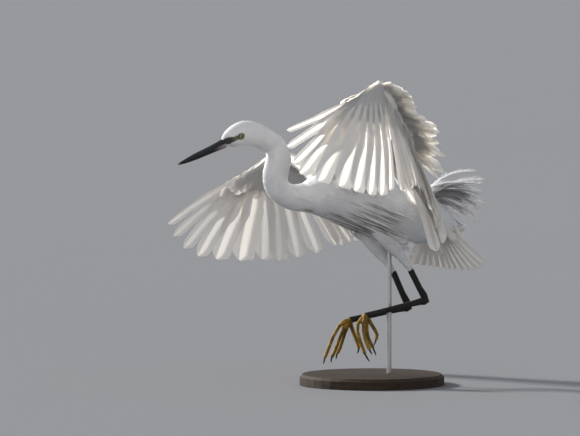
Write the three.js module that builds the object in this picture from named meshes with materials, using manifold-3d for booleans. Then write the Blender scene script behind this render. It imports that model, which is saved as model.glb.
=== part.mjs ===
// A little egret at life size, held in landing flight by a plain display stand.
// Millimetres, +Z up. The origin is the centre of the base's underside. The bird heads towards -X and
// 30 degrees towards -Y, so its left side is the -Y side. Its legs hang and its wings are cupped forward.
import * as THREE from "three";
import Module from "manifold-3d";

const wasm = await Module();
wasm.setup();

// Driving dimensions
const GAP = 0.32; // between neighbouring pieces
const YAW = THREE.MathUtils.degToRad(30);
const ROLL = THREE.MathUtils.degToRad(17); // the left side is up
const BASE_RADIUS = 105;
const BASE_HEIGHT = 16;
const ROD_RADIUS = 3.5;
const ROD_PLACE = [25, 12];
const ROD_TOP = 236;
const SOCKET_DEPTH = 30;
const BILL_LENGTH = 84;
const EYE_RADIUS = 5;
const EYE_OFFSET = 10.4; // from the head's middle plane to the eyeball's centre
const HAND_LENGTH = 78; // wrist to the end of the finger bones
const VANE_THICKNESS = 0.75;
const LOUVRE = THREE.MathUtils.degToRad(9); // each vane's turn about its shaft
const LONG_STEPS = [0, 0.25, 0.6, 0.88, 1]; // places along a long feather
const SHORT_STEPS = [0, 0.5, 1];
const LOCK_STEPS = [0, 0.35, 0.75, 1];
const RUFFLED_START = 1; // from the bone's middle line to the root of a ruffled covert
const LOCK_TAPER = 1.9;
const END_SHARE = 0.62; // how much smaller a limb's rounded end is than the limb
const BACK_PLUMES = 12;
const BACK_WIDTH = 44; // across the roots of the back's plumes
const INNER_FEATHERS = 12; // secondaries and tertials together
const SHIN_RADIUS = 4.1;
const TARSUS_RADIUS = 3.7;
const TOE_RADIUS = 3.0;
const CLAW_RADIUS = 1.5;
const LID_RADIUS = 4.3;
const LID_THICKNESS = 1.0;
const LID_OFFSET = 3.3; // from the eyeball's centre outwards
const GROOVE_RADIUS = 0.6; // of the mouth's line on the head, and of the nostrils
const BREAST_LOCKS = 16;

// Places on the head
const EYE_MIDDLE = [-195.5, -116, 369.5];
const BILL_BASE = [-214, -126.5, 359.5];
const BILL_TIP = [-281, -165.5, 331];

// Directions of the head and of the rolled body. Left points out of the bird's left side.
const HEAD_LEFT = new THREE.Vector3(Math.sin(YAW), -Math.cos(YAW), 0);
const BODY_LEFT = HEAD_LEFT.clone()
  .multiplyScalar(Math.cos(ROLL))
  .setComponent(2, Math.sin(ROLL));

// Landmarks of each side
const WINGS = {
  left: {
    dorsal: 1,
    shoulder: [-44, -55, 299],
    elbow: [49, -55, 355],
    wrist: [9, -136, 445],
    edge: [[-84, -56, 303], [-54, -74, 333], [-28, -94, 376], [-8, -114, 418], [3, -134, 447]],
    bone: [[-22, -42, 288], [8, -52, 328], [44, -58, 356], [32, -94, 400], [14, -132, 442]],
    primaries: [
      [-123, -361, 394], [-123, -353, 370], [-114, -349, 346], [-105, -341, 331], [-79, -330, 319],
      [-49, -316, 311], [-27, -296, 303], [-6, -272, 296], [11, -248, 293], [24, -226, 299],
    ],
    secondaries: [[41, -190, 295], [56, -164, 297], [72, -130, 292], [84, -98, 272], [92, -72, 252]],
    tertials: [[98, -60, 222], [102, -50, 192], [98, -36, 214]],
    ruffled: [
      [41, -132, 433], [57, -122, 426], [62, -110, 402], [80, -94, 384], [93, -76, 372],
      [94, -60, 352], [98, -50, 328], [101, -46, 296],
    ],
  },
  right: {
    dorsal: -1,
    shoulder: [-70, -7, 284],
    elbow: [-48, 98, 300],
    wrist: [-138, 179, 325],
    edge: [[-92, 6, 290], [-96, 52, 301], [-111, 104, 313], [-126, 146, 322], [-143, 178, 328]],
    bone: [[-44, 10, 272], [-44, 56, 286], [-50, 98, 298], [-94, 140, 312], [-134, 180, 320]],
    primaries: [
      [-299, 361, 209], [-291, 369, 191], [-276, 370, 173], [-255, 370, 161], [-228, 363, 157],
      [-194, 354, 156], [-160, 342, 158], [-137, 320, 158], [-109, 301, 164], [-80, 276, 172],
    ],
    secondaries: [[-52, 258, 184], [-22, 240, 192], [10, 218, 200], [38, 192, 214], [58, 166, 226]],
    tertials: [[68, 142, 232], [72, 118, 238], [66, 96, 246]],
    ruffled: [],
  },
};

const LEGS = {
  left: {
    hip: [4, -16, 246],
    bare: [56, 14, 166],
    heel: [78, 27, 121],
    foot: [-10, -23, 102],
    toes: [
      [[-17, -28, 96], [-22, -31, 87], [-18, -33, 68], [-11, -33, 49], [-3, -30, 36]],
      [[-12, -30, 92], [-11, -36, 74], [-8, -39, 64], [-4, -40, 55], [0, -39, 47]],
      [[-8, -22, 92], [-7, -18, 74], [-3, -15, 64], [1, -13, 56], [6, -11, 43]],
      [[-4, -19, 95], [2, -14, 84], [7, -10, 76], [6, -9, 67], [2, -10, 58]],
    ],
  },
  right: {
    hip: [-14, 20, 238],
    bare: [31, 31, 162],
    heel: [53, 42, 110],
    foot: [-32, -9, 95],
    toes: [
      [[-42, -14, 92], [-52, -20, 81], [-62, -24, 58], [-68, -26, 43], [-70, -26, 32]],
      [[-41, -11, 83], [-48, -9, 66], [-53, -8, 52], [-58, -8, 42], [-59, -8, 33]],
      [[-37, -5, 83], [-42, 3, 68], [-46, 8, 54], [-50, 11, 46], [-52, 12, 36]],
      [[-30, -3, 85], [-25, 1, 71], [-21, 3, 61], [-19, 4, 54], [-22, 4, 45]],
    ],
  },
};

const TAIL_ROOT = [92, 50, 238];
const TAIL_LENGTH = 94;
const TAIL_DIRECTIONS = [[0.705, -0.22, -0.674], [0.25, 0.5, -0.83], [-0.305, 0.6, -0.737]];
const TAIL_FEATHERS = 12;

const COLOURS = {
  white: [0xf1efec, 0.75, 0],
  bill: [0x17181c, 0.35, 0],
  lowerBill: [0x3a3234, 0.4, 0],
  eye: [0xd9c23a, 0.1, 0],
  leg: [0x14140f, 0.5, 0],
  foot: [0xb48a1e, 0.55, 0],
  claw: [0x1b1712, 0.4, 0],
  base: [0x3b3733, 0.5, 0],
  rod: [0xb9bcc0, 0.3, 1],
};

const vec = (p) => (p.isVector3 ? p.clone() : new THREE.Vector3(...p));
const between = (a, b, share) => vec(a).lerp(vec(b), share);
const direction = (a, b) => vec(b).sub(vec(a)).normalize();

// Solids

// Makes a solid of a closed mesh, its faces turned outwards.
function solidOf(points, faces) {
  let volume = 0;
  for (const [a, b, c] of faces) {
    volume += points[a].dot(points[b].clone().cross(points[c]));
  }
  const wound = volume < 0 ? faces.map(([a, b, c]) => [a, c, b]) : faces;
  const vertProperties = new Float32Array(points.flatMap((p) => [p.x, p.y, p.z]));
  const triVerts = new Uint32Array(wound.flat());
  return new wasm.Manifold(new wasm.Mesh({ numProp: 3, vertProperties, triVerts }));
}

// Closes rings of equal count into one solid, with a fan of faces at each end.
function loft(rings) {
  const count = rings[0].length;
  const points = rings.flat();
  const faces = [];
  for (let i = 0; i + 1 < rings.length; i++) {
    for (let j = 0; j < count; j++) {
      const a = i * count + j;
      const b = i * count + ((j + 1) % count);
      faces.push([a, b, b + count], [a, b + count, a + count]);
    }
  }
  for (const last of [false, true]) {
    const ring = last ? rings.at(-1) : rings[0];
    const start = last ? (rings.length - 1) * count : 0;
    const centre = points.length;
    points.push(ring.reduce((sum, p) => sum.add(p), new THREE.Vector3()).divideScalar(count));
    for (let j = 0; j < count; j++) {
      const a = start + j;
      const b = start + ((j + 1) % count);
      faces.push(last ? [centre, a, b] : [centre, b, a]);
    }
  }
  return solidOf(points, faces);
}

// A limb with an oval section along a curved spine. A station is [x, y, z, half width, top, bottom].
// The half width lies along `left`, which turns from its first to its second value over the length.
function limb({ stations, left, leftEnd = left, steps = 8, sides = 12, blunt = 0.35 }, grow = 0) {
  const spine = new THREE.CatmullRomCurve3(stations.map(([x, y, z]) => vec([x, y, z])));
  const sizes = new THREE.CatmullRomCurve3(stations.map(([, , , w, t, b]) => vec([w, t, b ?? t])));
  const shares = Array.from({ length: steps + 1 }, (_, i) => i / steps);
  const rings = shares.map((share) => {
    const tangent = spine.getTangent(share);
    const across = left.clone().lerp(leftEnd, share);
    across.addScaledVector(tangent, -across.dot(tangent)).normalize();
    const up = across.clone().cross(tangent);
    const at = spine.getPoint(share);
    const size = sizes.getPoint(share).addScalar(grow);
    return oval(at, across.multiplyScalar(size.x), up, size.y, size.z, sides);
  });
  const rounded = (ring, share, way) => {
    const at = spine.getPoint(share);
    const beyond = spine.getTangent(share).multiplyScalar(way * blunt * ring[0].distanceTo(at));
    return ring.map((p) => p.clone().sub(at).multiplyScalar(END_SHARE).add(at).add(beyond));
  };
  return loft([rounded(rings[0], 0, -1), ...rings, rounded(rings.at(-1), 1, 1)]);
}

function oval(at, across, up, top, bottom, sides) {
  return Array.from({ length: sides }, (_, j) => {
    const angle = (2 * Math.PI * j) / sides;
    const height = Math.sin(angle) * (Math.sin(angle) > 0 ? top : bottom);
    return at.clone().addScaledVector(across, Math.cos(angle)).addScaledVector(up, height);
  });
}

// A plate with the same faces on both sides. grid[i][j] are its middle points and normals its offsets.
function plate(grid, normals, thickness) {
  const rows = grid.length;
  const columns = grid[0].length;
  const points = [];
  for (const side of [0.5, -0.5]) {
    grid.forEach((row, i) => row.forEach((p, j) => {
      points.push(p.clone().addScaledVector(normals[i][j], side * thickness));
    }));
  }
  const half = rows * columns;
  const faces = [];
  for (let i = 0; i + 1 < rows; i++) {
    for (let j = 0; j + 1 < columns; j++) {
      const a = i * columns + j;
      const c = a + columns;
      faces.push([a, a + 1, c + 1], [a, c + 1, c]);
      faces.push([half + a, half + c + 1, half + a + 1], [half + a, half + c, half + c + 1]);
    }
  }
  const rim = [];
  for (let j = 0; j < columns; j++) {
    rim.push(j);
  }
  for (let i = 1; i < rows; i++) {
    rim.push(i * columns + columns - 1);
  }
  for (let j = columns - 2; j >= 0; j--) {
    rim.push((rows - 1) * columns + j);
  }
  for (let i = rows - 2; i > 0; i--) {
    rim.push(i * columns);
  }
  rim.forEach((a, k) => {
    const b = rim[(k + 1) % rim.length];
    faces.push([a, half + b, b], [a, half + a, half + b]);
  });
  return solidOf(points, faces);
}

const fuse = (solids) => solids.reduce((sum, one) => sum.add(one));

function largest(solid) {
  const pieces = solid.decompose();
  return pieces.reduce((best, one) => (one.volume() > best.volume() ? one : best));
}

// Feathers

// The row of flight feathers of one wing, from the outermost primary to the last tertial.
function flightFeathers(wing) {
  const { shoulder, elbow, wrist } = wing;
  const handEnd = handTip(wing);
  const innerTips = new THREE.CatmullRomCurve3([...wing.secondaries, ...wing.tertials].map(vec));
  const feathers = wing.primaries.map((tip, k) => ({
    group: "hand",
    root: between(handEnd, wrist, 0.02 + k * 0.1),
    tip: vec(tip),
    outerWidth: [5, 8, 9, 9.5, 10, 10.5, 11, 11, 11, 11][k],
    innerWidth: [13, 14, 15, 16, 16, 16, 15, 15, 15, 14][k],
    taper: [0.9, 0.9, 0.8, 0.6, 0.3, 0, 0, 0, 0, 0][k],
  }));
  for (let k = 0; k < INNER_FEATHERS; k++) {
    const share = k / (INNER_FEATHERS - 1);
    const along = 0.06 + share * 1.25;
    const root = along < 1 ? between(wrist, elbow, along) : between(elbow, shoulder, along - 1);
    feathers.push({ group: "arm", root, tip: innerTips.getPoint(share), outerWidth: 11, innerWidth: 13 });
  }
  feathers.forEach((feather, k) => {
    const before = feathers[Math.max(0, k - 1)];
    const after = feathers[Math.min(feathers.length - 1, k + 1)];
    const along = direction(feather.root, feather.tip);
    const spread = between(after.root, after.tip, 0.7).sub(between(before.root, before.tip, 0.7));
    spread.addScaledVector(along, -spread.dot(along)).normalize();
    feather.normal = along.clone().cross(spread).multiplyScalar(wing.dorsal);
    feather.outer = spread.clone().negate();
  });
  return feathers;
}

function handTip(wing) {
  const towards = between(wing.primaries[0], wing.primaries[1], 0.4);
  return vec(wing.wrist).addScaledVector(direction(wing.wrist, towards), HAND_LENGTH);
}

// A point on a feather's curved shaft, bowed up from the straight line between root and tip.
function onShaft({ root, tip, normal, bow = 0.04 }, share) {
  const lift = 4 * share * (1 - share) * bow * root.distanceTo(tip);
  return between(root, tip, share).addScaledVector(normal, lift);
}

// The share of a vane's full width at a place along its shaft: a bare quill, a quick rise, a round tip.
function vaneWidth(share, taper) {
  if (share < 0.05) return 0.08;
  const rise = Math.min(1, 0.12 + share * 1.6);
  const tip = share > 0.84 ? Math.sqrt(Math.max(0.2, 1 - ((share - 0.84) / 0.165) ** 2)) : 1;
  return rise * tip * (1 - taper * Math.max(0, share - 0.55));
}

// One feather: a thin blade either side of its shaft. It is turned about the shaft so that its outer
// edge lies over the next feather out and its inner edge lies under the next feather in.
function vane(feather, grow = 0) {
  const { normal, outer, outerWidth, innerWidth, tilt = LOUVRE, taper = 0, shares = LONG_STEPS } = feather;
  const out = outer.clone().multiplyScalar(Math.cos(tilt)).addScaledVector(normal, Math.sin(tilt));
  const face = normal.clone().multiplyScalar(Math.cos(tilt)).addScaledVector(outer, -Math.sin(tilt));
  const grid = shares.map((share) => {
    const at = onShaft(feather, share);
    const width = vaneWidth(share, taper);
    return [
      at.clone().addScaledVector(out, outerWidth * width + grow),
      at.clone().addScaledVector(out, -innerWidth * width - grow),
    ];
  });
  const normals = shares.map(() => [face, face]);
  return plate(grid, normals, VANE_THICKNESS + 2 * grow);
}

// A row of covert feathers laid over a row of flight feathers, rooted on the same bones.
function coverts(feathers, { reach, width, rise, lift, side = 1, every = 1 }) {
  return feathers.filter((_, k) => k % every === 0).map((feather) => {
    const along = direction(feather.root, feather.tip);
    const up = feather.normal.clone().multiplyScalar(side);
    const root = feather.root.clone().addScaledVector(up, rise).addScaledVector(along, 2);
    const tip = feather.root.clone().addScaledVector(along, reach).addScaledVector(up, lift);
    return {
      ...feather, root, tip, outerWidth: width, innerWidth: width, tilt: side * LOUVRE, taper: 0,
      bow: 0.05 * side, shares: SHORT_STEPS,
    };
  });
}

// Body

function torsoFlesh(grow = 0) {
  return limb({
    left: BODY_LEFT,
    stations: [
      [-96, -58, 277, 22, 22, 23], [-73, -44, 278, 33, 30, 31], [-32, -21, 270, 40, 35, 40],
      [12, 4, 260, 41, 38, 46], [52, 28, 249, 37, 37, 46], [82, 44, 238, 29, 31, 37],
      [104, 56, 230, 17, 20, 26],
    ],
    steps: 12,
    sides: 18,
  }, grow);
}

const torso = (grow = 0) => fuse([torsoFlesh(grow), ...backPlumes(grow), ...breastLocks(grow)]);

// A tapered lock: a narrow vane that bends away from the back and ends in a point.
function lock({ root, along, normal, length, width, bow }, grow = 0) {
  const tip = root.clone().addScaledVector(along, length);
  const outer = normal.clone().cross(along).normalize();
  return vane({
    root, tip, normal, outer, bow, outerWidth: width, innerWidth: width, tilt: 0, taper: LOCK_TAPER,
    shares: LOCK_STEPS,
  }, grow);
}

// Long loose plumes and shoulder feathers, rooted across the rear of the back.
function backPlumes(grow = 0) {
  const random = seeded(7);
  return Array.from({ length: BACK_PLUMES }, (_, k) => {
    const share = k / (BACK_PLUMES - 1) - 0.5;
    const back = random() * 20;
    const root = vec([62 + back, 34 + back * 0.58, 272 - back * 0.35]);
    root.addScaledVector(BODY_LEFT, -share * BACK_WIDTH);
    const along = vec([0.85 + 0.2 * random(), 0.42 - 0.5 * share, -0.12 + 0.42 * (random() - 0.35)]);
    along.normalize();
    const normal = along.clone().cross(BODY_LEFT).normalize();
    if (normal.z < 0) normal.negate();
    return lock({ root, along, normal, length: 62 + 34 * random(), width: 5, bow: 0.12 }, grow);
  });
}

// Long breast feathers that lie back along the lower flanks towards the thighs.
function breastLocks(grow = 0) {
  const random = seeded(5);
  const places = [[-90, -54, 277], [-60, -36, 275], [-32, -21, 270], [0, -3, 263]];
  const spine = new THREE.CatmullRomCurve3(places.map(vec));
  return Array.from({ length: BREAST_LOCKS }, (_, k) => {
    const share = (k % 4) / 4 + 0.2 * random();
    const angle = THREE.MathUtils.degToRad(-70 + 35 * (Math.floor(k / 4) + random() - 1));
    const tangent = spine.getTangent(share);
    const up = BODY_LEFT.clone().cross(tangent).normalize();
    const normal = BODY_LEFT.clone().multiplyScalar(Math.cos(angle)).addScaledVector(up, Math.sin(angle));
    const root = spine.getPoint(share).addScaledVector(normal, 29 + 9 * share);
    const along = tangent.clone().addScaledVector(normal, 0.22).normalize();
    return lock({ root, along, normal, length: 42 + 12 * random(), width: 4, bow: 0.05 }, grow);
  });
}

// A repeatable random number between 0 and 1.
function seeded(seed) {
  let state = seed;
  return () => {
    state = (state * 16807) % 2147483647;
    return state / 2147483647;
  };
}

const NECK_STATIONS = [
  [-153, -91, 362, 14, 18], [-142, -84, 354, 13.5, 18.5], [-136, -82, 336, 14.5, 21.3],
  [-140, -84, 309, 15, 21.3], [-135, -81, 291, 16, 19.5], [-118, -71, 279, 17, 20],
  [-97, -58.5, 277, 21, 22.3],
];

function neck(first, last, grow = 0) {
  return limb({
    left: between(HEAD_LEFT, BODY_LEFT, first / 6),
    leftEnd: between(HEAD_LEFT, BODY_LEFT, last / 6),
    stations: NECK_STATIONS.slice(first, last + 1),
    steps: 3 * (last - first),
    sides: 14,
    blunt: 0,
  }, grow);
}

function head(grow = 0) {
  return limb({
    left: HEAD_LEFT,
    stations: [
      [-213, -126, 360, 6, 7.5], [-208, -123, 365, 9.5, 12.5], [-200, -118, 368.5, 13, 16.5],
      [-185, -110, 373, 15.5, 19], [-168, -100.5, 370, 15.5, 18.5], [-152.5, -90.7, 361.6, 14, 18],
    ],
    steps: 9,
    sides: 16,
    blunt: 0.1,
  }, grow);
}

function bill(grow = 0) {
  const sizes = [
    [1.0, 6.0, 7.6, 7.0], [0.72, 4.6, 6.3, 5.2], [0.4, 3.3, 5.4, 4.5], [0.15, 2, 3.4, 2.6],
    [0.02, 0.9, 1.2, 0.9],
  ];
  return limb({
    left: HEAD_LEFT,
    stations: sizes.map(([share, ...size]) => [...between(BILL_TIP, BILL_BASE, share).toArray(), ...size]),
    steps: 8,
    sides: 12,
    blunt: 0.2,
  }, grow);
}

// A slab as wide as the bill, above or below the line of the mouth.
function mouthSlab(side) {
  const base = vec([-208, -123, 362]);
  const tip = vec(BILL_TIP);
  const along = direction(tip, base);
  const up = HEAD_LEFT.clone().cross(along);
  const matrix = new THREE.Matrix4().makeBasis(along, HEAD_LEFT, up);
  const box = new THREE.BoxGeometry(BILL_LENGTH * 1.6, 40, 30);
  box.translate(0, 0, side * (15 - GAP / 2));
  box.applyMatrix4(matrix);
  const middle = between(tip, base, 0.5);
  box.translate(middle.x, middle.y, middle.z);
  return ofGeometry(box);
}

function eye(side, grow = 0) {
  const ball = new THREE.SphereGeometry(EYE_RADIUS + grow, 12, 8);
  ball.rotateX(Math.PI / 2);
  const at = vec(EYE_MIDDLE).addScaledVector(HEAD_LEFT, side * EYE_OFFSET);
  ball.translate(at.x, at.y, at.z);
  return ofGeometry(ball);
}

// The ring of bare lid round an eye.
function lid(side) {
  const ring = new THREE.TorusGeometry(LID_RADIUS, LID_THICKNESS, 5, 14);
  const outwards = HEAD_LEFT.clone().multiplyScalar(side);
  ring.applyQuaternion(new THREE.Quaternion().setFromUnitVectors(new THREE.Vector3(0, 0, 1), outwards));
  const at = vec(EYE_MIDDLE).addScaledVector(outwards, EYE_OFFSET + LID_OFFSET);
  ring.translate(at.x, at.y, at.z);
  return ofGeometry(ring);
}

// A thin rod along the skin of one side of the head or bill, which is cut out as a groove. Each of its
// places is [x, y, z, distance from the middle plane].
function groove(places, side) {
  return limb({
    left: new THREE.Vector3(0, 0, 1),
    stations: places.map(([x, y, z, offset]) => [
      ...vec([x, y, z]).addScaledVector(HEAD_LEFT, side * offset).toArray(), GROOVE_RADIUS, GROOVE_RADIUS,
    ]),
    steps: 4,
    sides: 6,
  });
}

// The line of the mouth, from the bill's corner back to below the eye.
const gape = (side) => groove([
  [-213, -125.5, 358.2, 6.6], [-208, -122.5, 359.6, 9.3], [-202, -119, 360.4, 12],
  [-196, -115.5, 360.4, 13.6],
], side);

const nostril = (side) => groove([
  [-216.5, -128, 360.6, 5.7], [-220, -130, 359, 5.2], [-224, -132.4, 357.4, 4.8],
], side);

// Turns one of three's own closed geometries into a solid.
function ofGeometry(geometry) {
  const source = geometry.index ? geometry.toNonIndexed() : geometry;
  const { array } = source.getAttribute("position");
  const keys = new Map();
  const points = [];
  const index = [];
  for (let i = 0; i < array.length; i += 3) {
    const key = [0, 1, 2].map((k) => Math.round(array[i + k] * 1e4)).join();
    if (!keys.has(key)) {
      keys.set(key, points.length);
      points.push(new THREE.Vector3(array[i], array[i + 1], array[i + 2]));
    }
    index.push(keys.get(key));
  }
  const faces = [];
  for (let i = 0; i < index.length; i += 3) {
    const [a, b, c] = index.slice(i, i + 3);
    if (a !== b && b !== c && a !== c) faces.push([a, b, c]);
  }
  return solidOf(points, faces);
}

// Wings

function wingFlesh(wing, grow = 0) {
  const rings = wing.edge.map((edge, i) => {
    const bone = vec(wing.bone[i]);
    const next = wing.edge[Math.min(i + 1, 4)];
    const last = wing.edge[Math.max(i - 1, 0)];
    const across = bone.clone().sub(vec(edge)).multiplyScalar(0.5);
    const up = across.clone().cross(direction(last, next)).normalize();
    const reach = 1 + grow / across.length();
    const thick = [9, 7, 6, 5, 5][i] + grow;
    return oval(between(edge, bone, 0.5), across.multiplyScalar(reach), up, thick, thick, 10);
  });
  const arm = limb({
    left: new THREE.Vector3(0, 0, 1),
    stations: [
      [...wing.shoulder, 14, 16], [...between(wing.shoulder, wing.elbow, 0.5).toArray(), 10, 11],
      [...wing.elbow, 8, 8], [...between(wing.elbow, wing.wrist, 0.5).toArray(), 7.5, 7.5],
      [...between(wing.elbow, wing.wrist, 0.93).toArray(), 6.5, 6.5],
    ],
    steps: 6,
    sides: 8,
  }, grow);
  return fuse([loft(rings), arm]);
}

function wingHandFlesh(wing, grow = 0) {
  const end = handTip(wing);
  return limb({
    left: vec([0, 0, 1]),
    stations: [
      [...wing.wrist, 7.5, 6.5], [...between(wing.wrist, end, 0.5).toArray(), 6, 4.5],
      [...between(wing.wrist, end, 1.03).toArray(), 2.6, 2.4],
    ],
    steps: 4,
    sides: 8,
    blunt: 0.8,
  }, grow);
}

// Coverts blown up off the forearm and elbow, whose tips are given. Their roots follow the bones.
function ruffledCoverts(wing) {
  const { shoulder, elbow, wrist, ruffled } = wing;
  const bones = direction(wrist, elbow);
  return ruffled.map((tip, k) => {
    const along = 0.05 + (1.2 * k) / (ruffled.length - 1);
    const root = along < 1 ? between(wrist, elbow, along) : between(elbow, shoulder, along - 1);
    const lie = direction(root, tip);
    const outer = bones.clone().addScaledVector(lie, -bones.dot(lie)).normalize().negate();
    const normal = lie.clone().cross(outer).multiplyScalar(-wing.dorsal);
    root.addScaledVector(lie, RUFFLED_START);
    return { root, tip: vec(tip), normal, outer, outerWidth: 12, innerWidth: 11, shares: SHORT_STEPS };
  });
}

// The thumb's few stiff feathers, over the roots of the outer primaries.
function alula(wing) {
  const primaries = flightFeathers(wing).slice(1, 3);
  return primaries.map((feather, k) => {
    const root = between(wing.wrist, handTip(wing), 0.12).addScaledVector(feather.normal, 3 + k);
    const along = direction(wing.wrist, feather.tip);
    const tip = root.clone().addScaledVector(along, 52 - 7 * k).addScaledVector(feather.normal, 4);
    return { ...feather, root, tip, outerWidth: 4, innerWidth: 6, taper: 0, shares: SHORT_STEPS };
  });
}

function wingHand(wing, grow = 0) {
  const feathers = flightFeathers(wing).filter((feather) => feather.group === "hand");
  const upper = coverts(feathers, { reach: 84, width: 9, rise: 2.2, lift: 7, every: 2 });
  const under = coverts(feathers, { reach: 70, width: 12, rise: 2.2, lift: 6, side: -1, every: 3 });
  const vanes = [...feathers, ...upper, ...under, ...alula(wing)];
  return fuse([wingHandFlesh(wing, grow), ...vanes.map((feather) => vane(feather, grow))]);
}

function wingArm(wing, grow = 0) {
  const feathers = flightFeathers(wing).filter((feather) => feather.group === "arm");
  const greater = coverts(feathers, { reach: 66, width: 13, rise: 2.6, lift: 8, every: 2 });
  const median = coverts(feathers, { reach: 42, width: 13, rise: 5, lift: 15, every: 2 });
  const under = coverts(feathers, { reach: 60, width: 15, rise: 2.4, lift: 7, side: -1, every: 3 });
  const vanes = [...feathers, ...greater, ...median, ...under, ...ruffledCoverts(wing)];
  return fuse([wingFlesh(wing, grow), ...vanes.map((feather) => vane(feather, grow))]);
}

// Tail

function tailFeathers() {
  const [near, middle, far] = TAIL_DIRECTIONS.map(vec);
  const across = far.clone().sub(near).normalize();
  return Array.from({ length: TAIL_FEATHERS }, (_, k) => {
    const share = k / (TAIL_FEATHERS - 1);
    const along = near.clone().multiplyScalar((1 - share) * (1 - 2 * share));
    along.addScaledVector(middle, 4 * share * (1 - share));
    along.addScaledVector(far, share * (2 * share - 1)).normalize();
    const root = vec(TAIL_ROOT).addScaledVector(across, (share - 0.5) * 14);
    const normal = along.clone().cross(across).normalize().negate();
    const outer = across.clone().multiplyScalar(share < 0.5 ? -1 : 1);
    return {
      root, tip: root.clone().addScaledVector(along, TAIL_LENGTH), normal, outer,
      outerWidth: 7, innerWidth: 9, bow: 0.02,
    };
  });
}

function tail(grow = 0) {
  const root = vec(TAIL_ROOT);
  const end = root.clone().addScaledVector(vec(TAIL_DIRECTIONS[1]), 40);
  const core = limb({
    left: BODY_LEFT,
    stations: [
      [...TAIL_ROOT, 12, 9], [...between(root, end, 0.5).toArray(), 13, 8], [...end.toArray(), 8, 4],
    ],
    steps: 4,
    sides: 12,
  }, grow);
  const feathers = tailFeathers();
  const upper = coverts(feathers, { reach: 46, width: 9, rise: 2, lift: 6, every: 3 });
  const under = coverts(feathers, { reach: 52, width: 9, rise: 2, lift: 8, side: -1, every: 3 });
  return fuse([core, ...[...feathers, ...upper, ...under].map((feather) => vane(feather, grow))]);
}

// Legs

function thigh({ hip, bare }, grow = 0) {
  return limb({
    left: BODY_LEFT,
    stations: [
      [...hip, 17, 24], [...between(hip, bare, 0.4).toArray(), 13, 17],
      [...between(hip, bare, 0.72).toArray(), 7.5, 9], [...bare, 4.6, 5],
    ],
    steps: 6,
    sides: 12,
    blunt: 0.1,
  }, grow);
}

function shin({ bare, heel, foot }, grow = 0) {
  const joint = between(heel, foot, 0.07);
  return limb({
    left: BODY_LEFT,
    stations: [
      [...bare, SHIN_RADIUS, SHIN_RADIUS],
      [...between(bare, heel, 0.6).toArray(), SHIN_RADIUS, SHIN_RADIUS],
      [...heel, 5.2, 5.8], [...joint.toArray(), 4.6, 5],
    ],
    steps: 6,
    sides: 8,
  }, grow);
}

function tarsus({ heel, foot }, grow = 0) {
  const start = between(heel, foot, 0.07);
  return limb({
    left: BODY_LEFT,
    stations: [
      [...start.toArray(), 4.3, 4.8],
      [...between(start, foot, 0.2).toArray(), TARSUS_RADIUS * 0.8, TARSUS_RADIUS],
      [...between(start, foot, 0.8).toArray(), TARSUS_RADIUS * 0.8, TARSUS_RADIUS], [...foot, 4, 4.2],
    ],
    steps: 5,
    sides: 8,
  }, grow);
}

const toeSize = (share) => TOE_RADIUS * (1 - 0.3 * share) * (1 + 0.1 * Math.cos(share * 6 * Math.PI));

function toe({ foot }, joints, grow = 0) {
  const points = [vec(foot), ...joints.slice(0, 4).map(vec)];
  return limb({
    left: BODY_LEFT,
    stations: points.map((p, i) => [...p.toArray(), toeSize(i / 4), toeSize(i / 4)]),
    steps: 5,
    sides: 6,
  }, grow);
}

function foot(leg, grow = 0) {
  const pad = limb({
    left: BODY_LEFT,
    stations: [[...leg.foot, 4.6, 4.8], [...between(leg.foot, leg.toes[1][0], 0.9).toArray(), 4.6, 4.6]],
    steps: 2,
    sides: 8,
    blunt: 0.6,
  }, grow);
  return fuse([pad, ...leg.toes.map((joints) => toe(leg, joints, grow))]);
}

function claw(joints) {
  const [before, start, end] = joints.slice(2).map(vec);
  const along = direction(before, start);
  const bend = between(start, end, 0.5).addScaledVector(along, start.distanceTo(end) * 0.18);
  return limb({
    left: BODY_LEFT,
    stations: [
      [...start.toArray(), CLAW_RADIUS, CLAW_RADIUS],
      [...bend.toArray(), CLAW_RADIUS * 0.75, CLAW_RADIUS * 0.8],
      [...end.toArray(), 0.35, 0.35],
    ],
    steps: 4,
    sides: 6,
  });
}

// Stand

function standBase() {
  const edge = 4;
  const outline = [
    [0, 0], [BASE_RADIUS, 0], [BASE_RADIUS, BASE_HEIGHT - edge],
    [BASE_RADIUS - edge, BASE_HEIGHT], [0, BASE_HEIGHT],
  ];
  const lathe = new THREE.LatheGeometry(outline.map(([x, y]) => new THREE.Vector2(x, y)), 40);
  lathe.rotateX(Math.PI / 2);
  return ofGeometry(lathe);
}

function standRod(bottom, top, grow = 0) {
  const rod = new THREE.CylinderGeometry(ROD_RADIUS + grow, ROD_RADIUS + grow, top - bottom + 2 * grow, 24);
  rod.rotateX(Math.PI / 2);
  rod.translate(...ROD_PLACE, (bottom + top) / 2);
  return ofGeometry(rod);
}

// Assembly

const egret = new THREE.Group();

function add(name, colour, solid) {
  const mesh = largest(solid).getMesh();
  const corners = new Float32Array(mesh.numVert * 3);
  for (let i = 0; i < mesh.numVert; i++) {
    corners.set(mesh.vertProperties.subarray(i * mesh.numProp, i * mesh.numProp + 3), i * 3);
  }
  const geometry = new THREE.BufferGeometry();
  geometry.setAttribute("position", new THREE.BufferAttribute(corners, 3));
  geometry.setIndex(new THREE.BufferAttribute(mesh.triVerts, 1));
  geometry.computeVertexNormals();
  const [color, roughness, metalness] = COLOURS[colour];
  const piece = new THREE.Mesh(geometry, new THREE.MeshStandardMaterial({ color, roughness, metalness }));
  piece.name = name;
  egret.add(piece);
}

const socketBottom = ROD_TOP - SOCKET_DEPTH;
const rod = standRod(BASE_HEIGHT + GAP, ROD_TOP);
const rodRoom = standRod(BASE_HEIGHT, ROD_TOP, GAP);
add("stand_base", "base", standBase());
add("stand_rod", "rod", rod);

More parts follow.
